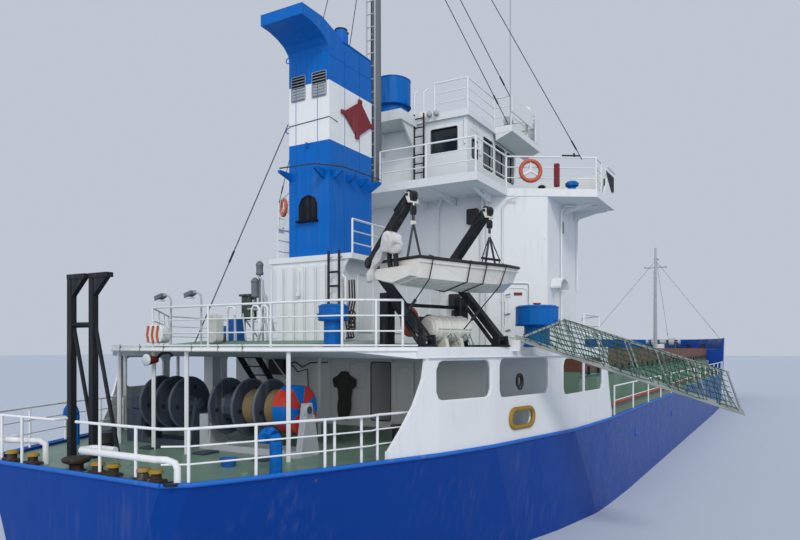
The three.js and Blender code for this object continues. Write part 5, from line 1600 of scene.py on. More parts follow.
@dataclass
class Casing:
    """The engine casing's black ladder, latch, seams and pipes aft, its side doors and its grilles."""

    face: float = 5.84
    roof: float = 7.54
    ladder: Span = (-1.83, -2.15)
    rungs: tuple[float, ...] = (0.3, 0.65, 1.0, 1.35, 1.7)
    seams: tuple[float, ...] = (-0.32, -0.68, -1.03, -1.38, -1.72)
    side_doors: tuple[float, ...] = (6.6, 8.4, 9.9)
    grilles: tuple[float, ...] = (6.6, 8.2, 9.6)
    slats: int = 7

    def build(self) -> None:
        """Make the after face's fittings, then those of the two sides."""
        self._ladder()
        self._after_face()
        self._sides()

    def _ladder(self) -> None:
        """Make the ladder up the after face."""
        x = self.face - 0.1
        base = LEVEL.boat + CAMBER
        sides = [[(x, y, base + 0.05), (x, y, self.roof + 0.06)] for y in self.ladder]
        rungs = [[(x, y, base + z) for y in self.ladder] for z in self.rungs]
        ladder = [pipes("sides", sides, 0.032), pipes("rungs", rungs, 0.026)]
        dress(joined("casing_ladder", ladder), Paint.BLACK)

    def _after_face(self) -> None:
        """Make the latch, the panel seams and the conduits."""
        base = LEVEL.boat + CAMBER
        latch = joined(
            "casing_latch",
            [
                block((self.face - 0.05, -0.85, 6.46), (self.face, -0.79, 7.18), 0.008),
                block((self.face - 0.08, -0.88, 6.5), (self.face - 0.03, -0.76, 6.6), 0.008),
            ],
        )
        dress(latch, Paint.WHITE)
        # The seams are thin pipes in grey, a painted shadow line along each joint of the white plate.
        seams = [[(self.face - 0.008, y, base), (self.face - 0.004, y, 7.25)] for y in self.seams]
        dress(pipes("casing_seams", seams, 0.008), Paint.SHADOW)
        conduits = [
            [(self.face - 0.04, -2.3, base), (self.face - 0.04, -2.3, 6.9), (self.face - 0.04, -2.2, 7.0)],
            [(self.face - 0.02, 0.1, base), (self.face - 0.02, 0.1, 7.2)],
        ]
        dress(pipes("casing_conduits", conduits, 0.028), Paint.WHITE)

    def _sides(self) -> None:
        """Make the starboard side's doors and the port side's grilles."""
        doors = [
            [(x, -2.13, z) for x, z in rounded((low, 5.6), (low + 0.75, 7.1), 0.1)]
            for low in self.side_doors
        ]
        dress(pipes("casing_side_doors", doors, 0.02, closed=True), Paint.WHITE)
        grilles = [
            block((low, -0.01, 6.2 + 0.13 * n), (low + 1.1, 0.03, 6.26 + 0.13 * n), 0.006)
            for low in self.grilles
            for n in range(self.slats)
        ]
        dress(joined("casing_port_grilles", grilles), Paint.WHITE)


@dataclass
class Funnel:
    """Louvres, hatch, seams, blank plate, eyes and pipes of the funnel."""

    aft: float = 5.92
    starboard: float = -1.72
    port: float = -0.42
    fore: float = 7.91
    louvres: tuple[Span, ...] = ((-0.96, -0.51), (-1.63, -1.18))
    slats: int = 8
    plate: tuple[Span, ...] = ((6.48, 11.32), (7.28, 11.83), (7.88, 11.32), (7.14, 10.84))
    wire_height: float = 9.78
    exhausts: tuple[tuple[float, float, float, float], ...] = (
        (7.0, -0.8, 0.16, 13.75),
        (7.0, -1.32, 0.16, 13.75),
        (7.55, -1.06, 0.1, 13.95),
    )

    def build(self) -> None:
        """Make each group on the funnel."""
        self._louvres()
        self._seams()
        self._plate()
        self._brackets_and_eyes()
        self._pipes()

    def _louvres(self) -> None:
        """Make the two louvred panels on the after face: white slats and frames drawn grey as painted shade,
        on dark backs.
        """
        frames, slats, backs = [], [], []
        for y0, y1 in self.louvres:
            frames.append([(self.aft - 0.012, y, z) for y, z in rounded((y0, 11.6), (y1, 12.24), 0.03)])
            backs.append(block((self.aft - 0.01, y0, 11.93), (self.aft + 0.02, y1, 12.24), 0.003))
            slats += [
                slab(
                    "slat",
                    (
                        (self.aft - 0.05, y0 + 0.02, 11.62 + 0.075 * n),
                        (self.aft, y0 + 0.02, 11.67 + 0.075 * n), (self.aft, y0 + 0.02, 11.655 + 0.075 * n),
                    ),
                    (0, y1 - y0 - 0.04, 0),
                )
                for n in range(self.slats)
            ]
        dress(joined("louvre_backs", backs), Paint.DARK)
        dress(pipes("louvre_frames", frames, 0.01, closed=True), Paint.LOUVRE)
        dress(joined("louvre_slats", slats), Paint.LOUVRE)

    def _seams(self) -> None:
        """Make the weld seams and the after hatch with its ledge."""
        runs = [[(self.aft - 0.002, y, 7.6), (self.aft - 0.002, y, 12.6)] for y in (-0.65, -1.35)]
        runs += [[(x, self.starboard - 0.002, 7.6), (x, self.starboard - 0.002, 13.1)] for x in (6.6, 7.3)]
        runs.append([(self.aft, self.starboard, 12.62), (self.fore, self.starboard, 12.62)])
        dress(pipes("funnel_seams", runs, 0.007), Paint.FUNNEL_SEAM)
        face = self.aft - 0.012
        hatch = [
            (-1.33, 8.5), (-0.77, 8.5), (-0.77, 8.86), (-0.86, 9.04), (-1.05, 9.11), (-1.24, 9.04),
            (-1.33, 8.86),
        ]
        dress(slab("funnel_hatch", [(face, y, z) for y, z in hatch], (0.03, 0, 0)), Paint.FUNNEL_DARK)
        rim = pipes("rim", [[(face, y, z) for y, z in hatch]], 0.022, closed=True)
        ledge = block((self.aft - 0.12, -1.38, 8.42), (self.aft, -0.72, 8.47), 0.006)
        dress(joined("funnel_hatch_rim", [rim, ledge]), Paint.FUNNEL_DARK)

    def _plate(self) -> None:
        """Make the blank red plate on the starboard face with a lug at each corner."""
        y = self.starboard - 0.03
        plate = slab("plate", [(x, y, z) for x, z in self.plate], (0, -0.02, 0), 0.004)
        lugs = [
            block((x - 0.07, y - 0.035, z - 0.05), (x + 0.07, self.starboard, z + 0.05), 0.008)
            for x, z in self.plate
        ]
        dress(joined("red_plate", [plate, *lugs]), Paint.LOCKER_RED)

    def _brackets_and_eyes(self) -> None:
        """Make the wire round the brackets, the eyes up the port corner and the lashing."""
        z = self.wire_height
        ring = [
            (self.aft - 0.47, self.port - 0.08, z), (self.aft - 0.4, self.starboard + 0.17, z),
            (self.aft + 0.18, self.starboard - 0.28, z), (self.fore - 0.1, self.starboard - 0.34, z + 0.02),
        ]
        lashing = [
            (self.aft - 0.01, self.port, 10.98), (self.aft - 0.01, self.starboard, 11.04),
            (self.aft + 0.35, self.starboard - 0.01, 11.0),
        ]
        dress(
            joined("funnel_wires", [pipes("ring", [ring], 0.018), pipes("lashing", [lashing], 0.01)]),
            Paint.WIRE,
        )
        eyes = [
            arc((self.aft + 0.05, self.port + 0.07, height), 0.07, "X", steps=14)
            for height in (10.9, 12.75)
        ]
        eyes.append(arc((self.aft - 0.06, -1.05, 10.4), 0.06, "Y", steps=14))
        dress(pipes("funnel_eyes", eyes, 0.013, closed=True), Paint.BLUE)

    def _pipes(self) -> None:
        """Make collars and mitred lips on the exhaust pipes, and the rim of the funnel's top."""
        collars = []
        for x, y, radius, top in self.exhausts:
            collars.append(pipes("lip", [arc((x, y, top), radius, "Z", steps=24)], 0.018, closed=True))
            collars.append(
                pipes("ring", [arc((x, y, 13.3), radius + 0.01, "Z", steps=24)], 0.025, closed=True)
            )
        dress(joined("exhaust_collars", collars), Paint.EXHAUST)
        rim = [
            (self.aft + 0.62, self.starboard, 13.17), (self.fore, self.starboard, 13.15),
            (self.fore, self.port, 13.15), (self.aft + 0.62, self.port, 13.17),
        ]
        dress(pipes("funnel_rim", [rim], 0.025), Paint.BLUE)


@dataclass
class UpperHouse:
    """Door frames, blank signs, windows, pipes and lights on the upper deckhouse."""

    start: Span = (11.4, -3.65)
    shoulder: Span = (12.45, -5.3)
    port_windows: tuple[Span, ...] = ((13.3, 6.4), (14.6, 6.4), (14.9, 8.5))
    front_windows: tuple[float, ...] = (-4.2, -2.9, -1.6, -0.3, 1.0, 2.3, 3.6)
    front_rows: Span = (6.4, 8.6)

    def build(self) -> None:
        """Make the fittings of the slanting walls, then those of the corners, sides and front."""
        for side, sign in (("starboard", 1), ("port", -1)):
            self._slant(side, sign)
        self._pipes()
        self._floodlights()
        self._side_fittings()
        self._windows()

    def _on_wall(self, along: float, out: float, z: float, sign: int = 1) -> Point:
        """Give a point on a slanting wall.

        Args:
            along: How far along the wall from its after end.
            out: How far out of it.
            z: The height.
            sign: 1 for the starboard wall and -1 for the port one.

        Returns:
            The point, full size.
        """
        (x0, y0), (x1, y1) = self.start, self.shoulder
        length = math.hypot(x1 - x0, y1 - y0)
        ux, uy = (x1 - x0) / length, (y1 - y0) / length
        return (x0 + along * ux + out * uy, sign * (y0 + along * uy - out * ux), z)

    def _slant(self, side: str, sign: int) -> None:
        """Make one slanting wall's door frame, and its door's panel, blank sign and clips.

        Args:
            side: The wall's side, which names its pieces.
            sign: 1 for starboard and -1 for port.
        """
        frame = [self._on_wall(a, 0.015, z, sign) for a, z in rounded((0.58, 5.37), (1.38, 7.18), 0.09)]
        dress(pipes(f"slant_door_frame_{side}", [frame], 0.022, closed=True), Paint.WHITE)
        body = f"door_house_{side}"
        panel = [self._on_wall(a, 0.008, z, sign) for a, z in rounded((0.72, 5.5), (1.32, 7.02), 0.1)]
        dress(pipes(f"slant_door_panel_{side}", [panel], 0.014, closed=True), Paint.WHITE, body)
        outward = Vector(self._on_wall(0, 0.012, 0, sign)) - Vector(self._on_wall(0, 0, 0, sign))
        plate = [
            self._on_wall(a, 0.004, z, sign)
            for a, z in ((0.9, 6.8), (1.16, 6.8), (1.16, 6.89), (0.9, 6.89))
        ]
        dress(slab(f"slant_door_plate_{side}", plate, outward), Paint.LOCKER_RED, body)
        clips = [
            pipes(
                "clip", [[self._on_wall(0.62, 0.03, z, sign), self._on_wall(0.78, 0.05, z + 0.04, sign)]],
                0.02,
            )
            for z in (5.7, 6.2, 6.8)
        ]
        dress(joined(f"slant_door_clips_{side}", clips), Paint.ALLOY, body)

    def _pipes(self) -> None:
        """Make the pipes at the starboard corners."""
        slanting = ((1.0, 0.2, 9.84), (0.68, 0.08, 9.74), (0.54, 0.05, 9.5), (0.54, 0.05, 5.25))
        runs = [
            [(10.6, -3.95, 9.84), (11.1, -3.8, 9.78), (11.36, -3.72, 9.5), (11.36, -3.72, 5.25)],
            [(10.7, -3.8, 9.84), (11.1, -3.7, 9.74), (11.33, -3.55, 9.4), (11.33, -3.55, 5.25)],
            [self._on_wall(*place) for place in slanting],
            [(11.36, -2.05, 5.25), (11.36, -2.05, 9.4), (11.3, -2.1, 9.7), (10.9, -2.4, 9.84)],
            [(13.73, -5.36, 5.25), (13.73, -5.36, 9.6), (13.8, -5.45, 9.8), (14.6, -6.3, 9.84)],
            [(15.6, -5.36, 7.2), (15.6, -5.36, 9.6), (15.62, -5.5, 9.8), (15.5, -6.4, 9.84)],
        ]
        dress(pipes("corner_pipes", runs, 0.03), Paint.WHITE)

    def _floodlights(self) -> None:
        """Make the floodlights on the after wall, with their arms."""
        lamps = [
            block((11.15, -3.5, 9.0), (11.32, -3.12, 9.48), 0.03),
            block((11.2, -2.86, 6.42), (11.36, -2.48, 6.87), 0.03),
            block((11.22, -2.82, 6.1), (11.36, -2.58, 6.36), 0.02),
        ]
        dress(joined("aft_floodlights", lamps), Paint.RUBBER)
        arms = [[(11.4, -3.3, 9.25), (11.25, -3.3, 9.25)], [(11.4, -2.68, 6.6), (11.3, -2.68, 6.6)]]
        dress(pipes("aft_floodlight_arms", arms, 0.025), Paint.BLACK)

    def _side_fittings(self) -> None:
        """Make the slot window and the curved hood on the starboard side."""
        slot = [(x, -5.31, z) for x, z in rounded((13.88, 8.95), (14.15, 9.35), 0.08)]
        dress(slab("side_slot", slot, (0, -0.01, 0)), Paint.GLASS)
        arch = [(12.7, 7.1), (12.75, 7.26), (12.95, 7.38), (13.25, 7.4), (13.5, 7.3), (13.6, 7.1)]
        shell = [*arch, *[(x * 0.97 + 0.03 * 13.15, z - 0.05) for x, z in arch[::-1]]]
        dress(slab("side_hood", [(x, -5.31, z) for x, z in shell], (0, -0.34, 0)), Paint.WHITE)

    def _windows(self) -> None:
        """Make the windows of the port side and the front, each a pane in a gasket."""
        panes, frames = [], []
        for x, z in self.port_windows:
            outline = [(a, 5.1, b) for a, b in rounded((x, z), (x + 0.5, z + 0.62), 0.12)]
            panes.append(slab("pane", outline, (0, 0.006, 0)))
            frames.append(outline)
        for y in self.front_windows:
            for z in self.front_rows:
                outline = [(15.7, a, b) for a, b in rounded((y, z), (y + 0.55, z + 0.65), 0.12)]
                panes.append(slab("pane", outline, (0.006, 0, 0)))
                frames.append(outline)
        dress(joined("house_panes", panes), Paint.GLASS)
        dress(pipes("house_window_frames", frames, 0.025, closed=True), Paint.RUBBER)


@dataclass
class Wheelhouse:
    """Glass and gaskets of the wheelhouse, its ladder, its console and what hangs on its walls."""

    aft: float = 11.4
    half: float = 3.05
    front: float = 15.7
    floor: float = 10.2
    side_windows: tuple[Span, ...] = ((12.7, 13.45), (13.75, 14.55), (14.85, 15.45))
    front_windows: tuple[float, ...] = (-2.3, -1.15, 0.0, 1.15, 2.3)
    ladder: Span = (-1.24, -1.59)
    rungs: int = 8

    def build(self) -> None:
        """Make the glazing, the ladder, the inside and the fittings."""
        self._glazing()
        self._ladder()
        self._inside()
        pipe = [[(self.aft - 0.03, -2.98, 11.6), (self.aft - 0.03, -2.98, 12.4)]]
        dress(pipes("corner_drain", pipe, 0.03), Paint.WHITE)
        fronts = [
            block((14.1, side * 6.42 - 0.02, 10.6), (14.14, side * 6.42 + 0.02, 11.1), 0.005)
            for side in (-1, 1)
        ]
        dress(joined("screen_posts", fronts), Paint.WHITE)

    def _pane(self, outline: Sequence[Point], inward: Point) -> tuple[bpy.types.Object, list[Point]]:
        """Make one pane, set back in its opening.

        Args:
            outline: The opening's outline on the wall's face.
            inward: The vector from the wall's outer face to its inner one.

        Returns:
            The pane and the run of its gasket.
        """
        back = Vector(inward)
        low = [tuple(Vector(point) + back * 0.5) for point in outline]
        return slab("pane", low, tuple(back * 0.2)), list(outline)

    def _glazing(self) -> None:
        """Make every pane and gasket."""
        panes, gaskets = [], []
        for side in (-1, 1):
            for low, high in self.side_windows:
                outline = [(x, side * self.half, z) for x, z in rounded((low, 11.15), (high, 12.15), 0.05)]
                made, run = self._pane(outline, (0, -side * 0.1, 0))
                panes.append(made)
                gaskets.append(run)
            y0, y1 = sorted((side * 1.78, side * 2.7))
            outline = [(self.aft, y, z) for y, z in rounded((y0, 11.43), (y1, 12.2), 0.04)]
            made, run = self._pane(outline, (0.1, 0, 0))
            panes.append(made)
            gaskets.append(run)
        for y in self.front_windows:
            outline = [(self.front, a, b) for a, b in rounded((y - 0.48, 11.05), (y + 0.48, 12.2), 0.08)]
            made, run = self._pane(outline, (-0.1, 0, 0))
            panes.append(made)
            gaskets.append(run)
        dress(joined("wheelhouse_panes", panes), Paint.GLASS)
        dress(pipes("wheelhouse_gaskets", gaskets, 0.02, closed=True), Paint.RUBBER)
        for side, sign in (("starboard", -1), ("port", 1)):
            outline = [(x, sign * self.half, z) for x, z in rounded((11.76, 11.25), (12.2, 11.85), 0.08)]
            made, run = self._pane(outline, (0, -sign * 0.05, 0))
            made.name = f"door_pane_{side}"
            dress(made, Paint.GLASS, f"door_wheelhouse_{side}")
            dress(
                pipes(f"door_gasket_{side}", [run], 0.025, closed=True), Paint.RUBBER,
                f"door_wheelhouse_{side}",
            )

    def _ladder(self) -> None:
        """Make the ladder up the after wall, its stringers carried up past the roof's edge."""
        x, low, high = self.aft - 0.16, 10.3, 12.75
        sides = [[(x, y, low), (x, y, high)] for y in self.ladder]
        heights = [low + 0.25 + (high - low - 0.4) * n / (self.rungs - 1) for n in range(self.rungs)]
        steps = [[(x, y, z) for y in self.ladder] for z in heights]
        made = [pipes("sides", sides, 0.03), pipes("steps", steps, 0.022)]
        dress(joined("wheelhouse_ladder", made), Paint.BLACK)
        upper = [[(x, y, 12.7), (x, y, 13.42), (x + 0.3, y, 13.62)] for y in self.ladder]
        dress(pipes("ladder_hand_pipes", upper, 0.028), Paint.PIPE_WHITE)

    def _inside(self) -> None:
        """Make the console, chart table and chair that show through the windows."""
        z = self.floor
        dress(block((14.6, -2.0, z), (15.3, 2.0, 11.15), 0.08, "console"), Paint.SLATE)
        dress(block((11.6, 1.0, z), (12.4, 2.8, 11.05), 0.04, "chart_table"), Paint.LOCKER)
        seat = turned(
            "helm_chair",
            (14.0, 0.0, z),
            ((0.28, 0.0), (0.06, 0.05), (0.06, 0.55), (0.27, 0.6), (0.28, 0.72), (0.2, 0.74)),
            20,
        )
        back = block((13.72, -0.24, 10.85), (13.8, 0.24, 11.5), 0.05, "back")
        dress(joined("helm_chair", [seat, back]), Paint.RUBBER)


@dataclass
class PoopShell:
    """The rolled edges of the poop's side shells, a hung hose, and the boat deck's edge bar."""

    openings: tuple[tuple[Span, Span], ...] = (
        ((5.14, 4.0), (6.98, 4.92)),
        ((7.29, 3.95), (9.74, 4.95)),
        ((10.5, 3.85), (13.95, 4.9)),
    )

    def build(self) -> None:
        """Make the edges of both shells, the deck's bar, the hose and the passages' posts."""
        rims = []
        for side in (-1, 1):
            for low, high in self.openings:
                run = []
                for x, z in rounded(low, high, 0.22):
                    (_, y), _ = edge_run(x, x + 0.01, 0.06, side)
                    run.append((x, y, z))
                rims.append(run)
        dress(pipes("shell_rims", rims, 0.03, closed=True), Paint.WHITE)
        bars = []
        for side in (-1, 1):
            bars.append([(x, y, 4.97) for x, y in edge_run(4.9, 14.4, -0.01, side)])
        dress(pipes("boat_deck_bar", bars, 0.028), Paint.WHITE)
        loop = [arc((8.35, -5.86, 4.35), 0.16, "Y", steps=20), arc((8.35, -5.9, 4.32), 0.19, "Y", steps=20)]
        dress(pipes("hung_hose", loop, 0.028, closed=True), Paint.RUBBER)
        posts = [
            [(x, side * y, 2.82), (x, side * y, 4.94)]
            for side in (-1, 1)
            for x, y in ((10.1, 6.2), (12.3, 6.45))
        ]
        dress(pipes("side_passage_posts", posts, 0.045), Paint.WHITE)


@dataclass
class BridgeWings:
    """What stands on the bridge deck's wings: side lights, a locker, caps, a rest bar and screens' edges."""

    floor: float = 10.12

    def build(self) -> None:
        """Make each group of fittings."""
        self._side_lights()
        self._small_gear()
        self._screens()

    def _side_lights(self) -> None:
        """Make the green and the red side light on their shelves."""
        z = self.floor
        shelves = []
        for name, paint in (("starboard", Paint.GREEN_LAMP), ("port", Paint.RED)):
            y = -6.52 if name == "starboard" else 6.2
            lamp = turned(
                f"side_light_{name}", (14.9, y, z + 0.5),
                ((0.07, 0.0), (0.09, 0.02), (0.09, 0.18), (0.05, 0.2)), 18,
            )
            dress(lamp, paint)
            shelves.append(block((14.75, y - 0.06, z + 0.42), (15.2, y + 0.06, z + 0.48), 0.01))
        dress(joined("side_light_shelves", shelves), Paint.BLACK)

    def _small_gear(self) -> None:
        """Make the red locker, the blue and the black cap, and the rest bar on the starboard wing."""
        z = self.floor
        dress(block((12.62, -5.6, z + 0.08), (12.76, -5.44, z + 0.8), 0.02, "red_locker"), Paint.LOCKER_RED)
        cap = turned(
            "cap", (13.1, -5.88, z), ((0.12, 0.0), (0.12, 0.1), (0.2, 0.14), (0.21, 0.22), (0.14, 0.28)), 24
        )
        dress(cap, Paint.BLUE)
        dress(
            turned(
                "black_cap", (12.5, -5.1, z), ((0.08, 0.0), (0.08, 0.05), (0.13, 0.07), (0.08, 0.13)), 20
            ),
            Paint.BLACK,
        )
        rest = [
            [(12.77, -5.66, 11.17), (13.08, -6.13, 11.17)], [(12.98, -5.98, 11.13), (12.98, -5.98, 11.25)]
        ]
        dress(pipes("wing_rest", rest, 0.03), Paint.BLACK)

    def _screens(self) -> None:
        """Make the side light's dark recess and the rolled caps along the screens."""
        recess = [(x, -6.635, h) for x, h in ((14.35, 10.95), (15.5, 10.95), (15.5, 10.45), (15.2, 10.4))]
        dress(slab("side_light_recess", recess, (0, -0.006, 0)), Paint.DARK)
        caps = []
        for edge, sign in ((-6.62, -1), (6.3, 1)):
            caps.append([(14.6, edge, 11.13), (15.7, edge, 11.13), (15.7, sign * 3.15, 11.13)])
        dress(pipes("screen_caps", caps, 0.035), Paint.WHITE)


@dataclass
class CompassDeck:
    """The dodger, compass, aerials, lamps and edge bar of the wheelhouse's roof."""

    floor: float = 12.68

    def build(self) -> None:
        """Make each group of fittings."""
        self._dodger()
        self._instruments()
        self._lamps()

    def _dodger(self) -> None:
        """Make the plates that stand round the roof's fore corner."""
        z = self.floor
        screen = [
            block((13.5, -3.75, z + 0.42), (15.6, -3.71, z + 1.02), 0.012),
            block((15.9, -3.75, z), (16.38, -3.7, z + 0.95), 0.012),
            block((16.34, -3.7, z), (16.39, -1.4, z + 0.95), 0.012),
        ]
        dress(joined("dodger_plates", screen), Paint.WHITE)

    def _instruments(self) -> None:
        """Make the compass, the satellite dome and the whip aerials."""
        z = self.floor
        compass = turned(
            "compass",
            (14.2, 0.0, z),
            (
                (0.3, 0.0), (0.3, 0.05), (0.14, 0.1), (0.14, 0.85), (0.24, 0.95), (0.25, 1.1), (0.16, 1.25),
                (0.05, 1.28),
            ),
        )
        dress(compass, Paint.LAMINATE)
        dome = turned(
            "satellite_dome",
            (15.5, -3.55, z),
            ((0.05, 0.0), (0.05, 0.72), (0.14, 0.76), (0.19, 0.9), (0.19, 1.02), (0.14, 1.18), (0.04, 1.25)),
        )
        dress(dome, Paint.LAMINATE)
        whips = [
            [(13.56, -3.66, z), (13.56, -3.66, z + 5.6)],
            [(15.2, 2.6, z), (15.2, 2.6, z + 3.0)],
            [(12.0, 2.4, z), (12.0, 2.4, z + 2.2)],
        ]
        dress(pipes("whip_aerials", whips, 0.022), Paint.GREY)

    def _lamps(self) -> None:
        """Make the edge's twin lamps, the search lights and the bar round the vent's plinth."""
        z = self.floor
        twins = [
            turned("lamp", (11.22, y, z - 0.08), ((0.07, 0.0), (0.09, 0.03), (0.09, 0.1), (0.05, 0.15)), 18)
            for y in (-1.8, -2.05)
        ]
        dress(joined("edge_lamps", twins), Paint.GREY)
        stems = [[(16.1, y, z), (16.1, y, z + 0.9)] for y in (-2.6, 2.6)]
        heads = [
            turned(
                "lamp", (16.1, y, z + 1.05), ((0.15, -0.12), (0.18, 0.06), (0.18, 0.12), (0.14, 0.12)), 20,
                "X",
            )
            for y in (-2.6, 2.6)
        ]
        dress(joined("search_lights", [pipes("stems", stems, 0.03), *heads]), Paint.GREY)
        plinth = [[(10.36, -1.24, 12.6), (10.36, 0.06, 12.6)], [(10.36, -1.24, 12.6), (11.3, -1.24, 12.6)]]
        dress(pipes("vent_plinth_bar", plinth, 0.03), Paint.WHITE)


@dataclass
class Masts:
    """Ladder, cable and lights of the main mast, and lights and ladder of the foremast."""

    x: float = 9.8
    y: float = -0.7
    yard: float = 19.2
    yard_lights: tuple[float, ...] = (-1.5, -0.9, 0.9, 1.5)
    ties: tuple[float, ...] = (10.8, 12.8, 14.8, 16.8, 18.6, 20.8)
    step: float = 0.4
    fore_ladder: float = 63.95
    foremast: float = 64.4
    fore_ties: tuple[float, ...] = (5.6, 8.0, 10.4, 12.8)

    def build(self) -> None:
        """Make the fittings of each mast."""
        self._main_mast()
        self._foremast()

    def _main_mast(self) -> None:
        """Make the main mast's ladder with its ties, the cable and the lights on the yard."""
        x, y = self.x, self.y
        heights = [10.6 + self.step * n for n in range(27)]
        rungs = [[(x - 0.34, y - 0.15, z), (x - 0.34, y + 0.15, z)] for z in heights]
        sides = [[(x - 0.34, y + dy, 10.3), (x - 0.34, y + dy, 21.3)] for dy in (-0.15, 0.15)]
        steps = joined("mast_ladder", [pipes("sides", sides, 0.025), pipes("rungs", rungs, 0.018)])
        dress(steps, Paint.GREY)
        ties = [[(x - 0.34, y, z), (x, y, z)] for z in self.ties]
        dress(pipes("mast_ladder_ties", ties, 0.02), Paint.GREY)
        dress(
            pipes("mast_cable", [[(x - 0.12, y + 0.12, 10.2), (x - 0.13, y + 0.1, 21.0)]], 0.022),
            Paint.RUBBER,
        )
        shape = ((0.06, 0.04), (0.08, 0.06), (0.08, 0.22), (0.05, 0.25))
        lamps = [turned("lamp", (x, y + dy, self.yard), shape, 16) for dy in self.yard_lights]
        dress(joined("mast_lights", lamps), Paint.LAMP)

    def _foremast(self) -> None:
        """Make the foremast's three lights and its ladder with its ties."""
        x = self.fore_ladder
        fore = [
            turned("lamp", (64.95, -0.1, 14.24), ((0.1, 0.0), (0.12, 0.02), (0.12, 0.2), (0.07, 0.24)), 16)
        ]
        shape = ((0.06, 0.0), (0.08, 0.02), (0.08, 0.18), (0.05, 0.2))
        fore += [turned("lamp", (self.foremast, y, 13.36), shape, 14) for y in (-1.0, 1.0)]
        dress(joined("foremast_lights", fore), Paint.LAMP)
        sides = [[(x, y, 5.1), (x, y, 13.0)] for y in (-0.14, 0.14)]
        rungs = [[(x, y, 5.4 + self.step * n) for y in (-0.14, 0.14)] for n in range(19)]
        ties = [[(x, 0, z), (self.foremast, 0, z)] for z in self.fore_ties]
        made = [pipes("sides", sides, 0.025), pipes("rungs", rungs, 0.018), pipes("ties", ties, 0.02)]
        dress(joined("foremast_ladder", made), Paint.GREY)


@dataclass
class Rigging:
    """The taut wire stays with their turnbuckles."""

    wire: float = 0.014
    mast: Span = (9.8, -0.7)

    def build(self) -> None:
        """Make every stay, from its top to its foot, with a turnbuckle at a share of the way down."""
        mast = self.mast
        stays = [
            ((*mast, 20.2), (13.5, -3.6, 12.72), 0.9),
            ((*mast, 21.05), (13.58, -3.67, 13.6), 0.93),
            ((*mast, 22.3), (13.1, -6.2, 11.05), 0.96),
            ((*mast, 20.2), (13.5, 3.6, 12.72), 0.9),
            ((*mast, 22.3), (13.1, 6.0, 11.05), 0.96),
            ((5.86, -0.44, 11.03), (3.86, 0.85, 5.3), 0.62),
            ((64.4, 0.0, 14.6), (72.8, 0.0, 5.95), 0.92),
            ((64.4, 0.0, 14.0), (61.9, -6.2, 5.9), 0.9),
            ((64.4, 0.0, 14.0), (61.9, 6.2, 5.9), 0.9),
        ]
        dress(pipes("stays", [[start, end] for start, end, _ in stays], self.wire), Paint.WIRE)
        screws = []
        for start, end, share in stays:
            middle = Vector(start).lerp(Vector(end), share)
            half = (Vector(end) - Vector(start)).normalized() * 0.16
            screws.append([tuple(middle - half), tuple(middle + half)])
        dress(pipes("turnbuckles", screws, 0.026), Paint.BLACK)


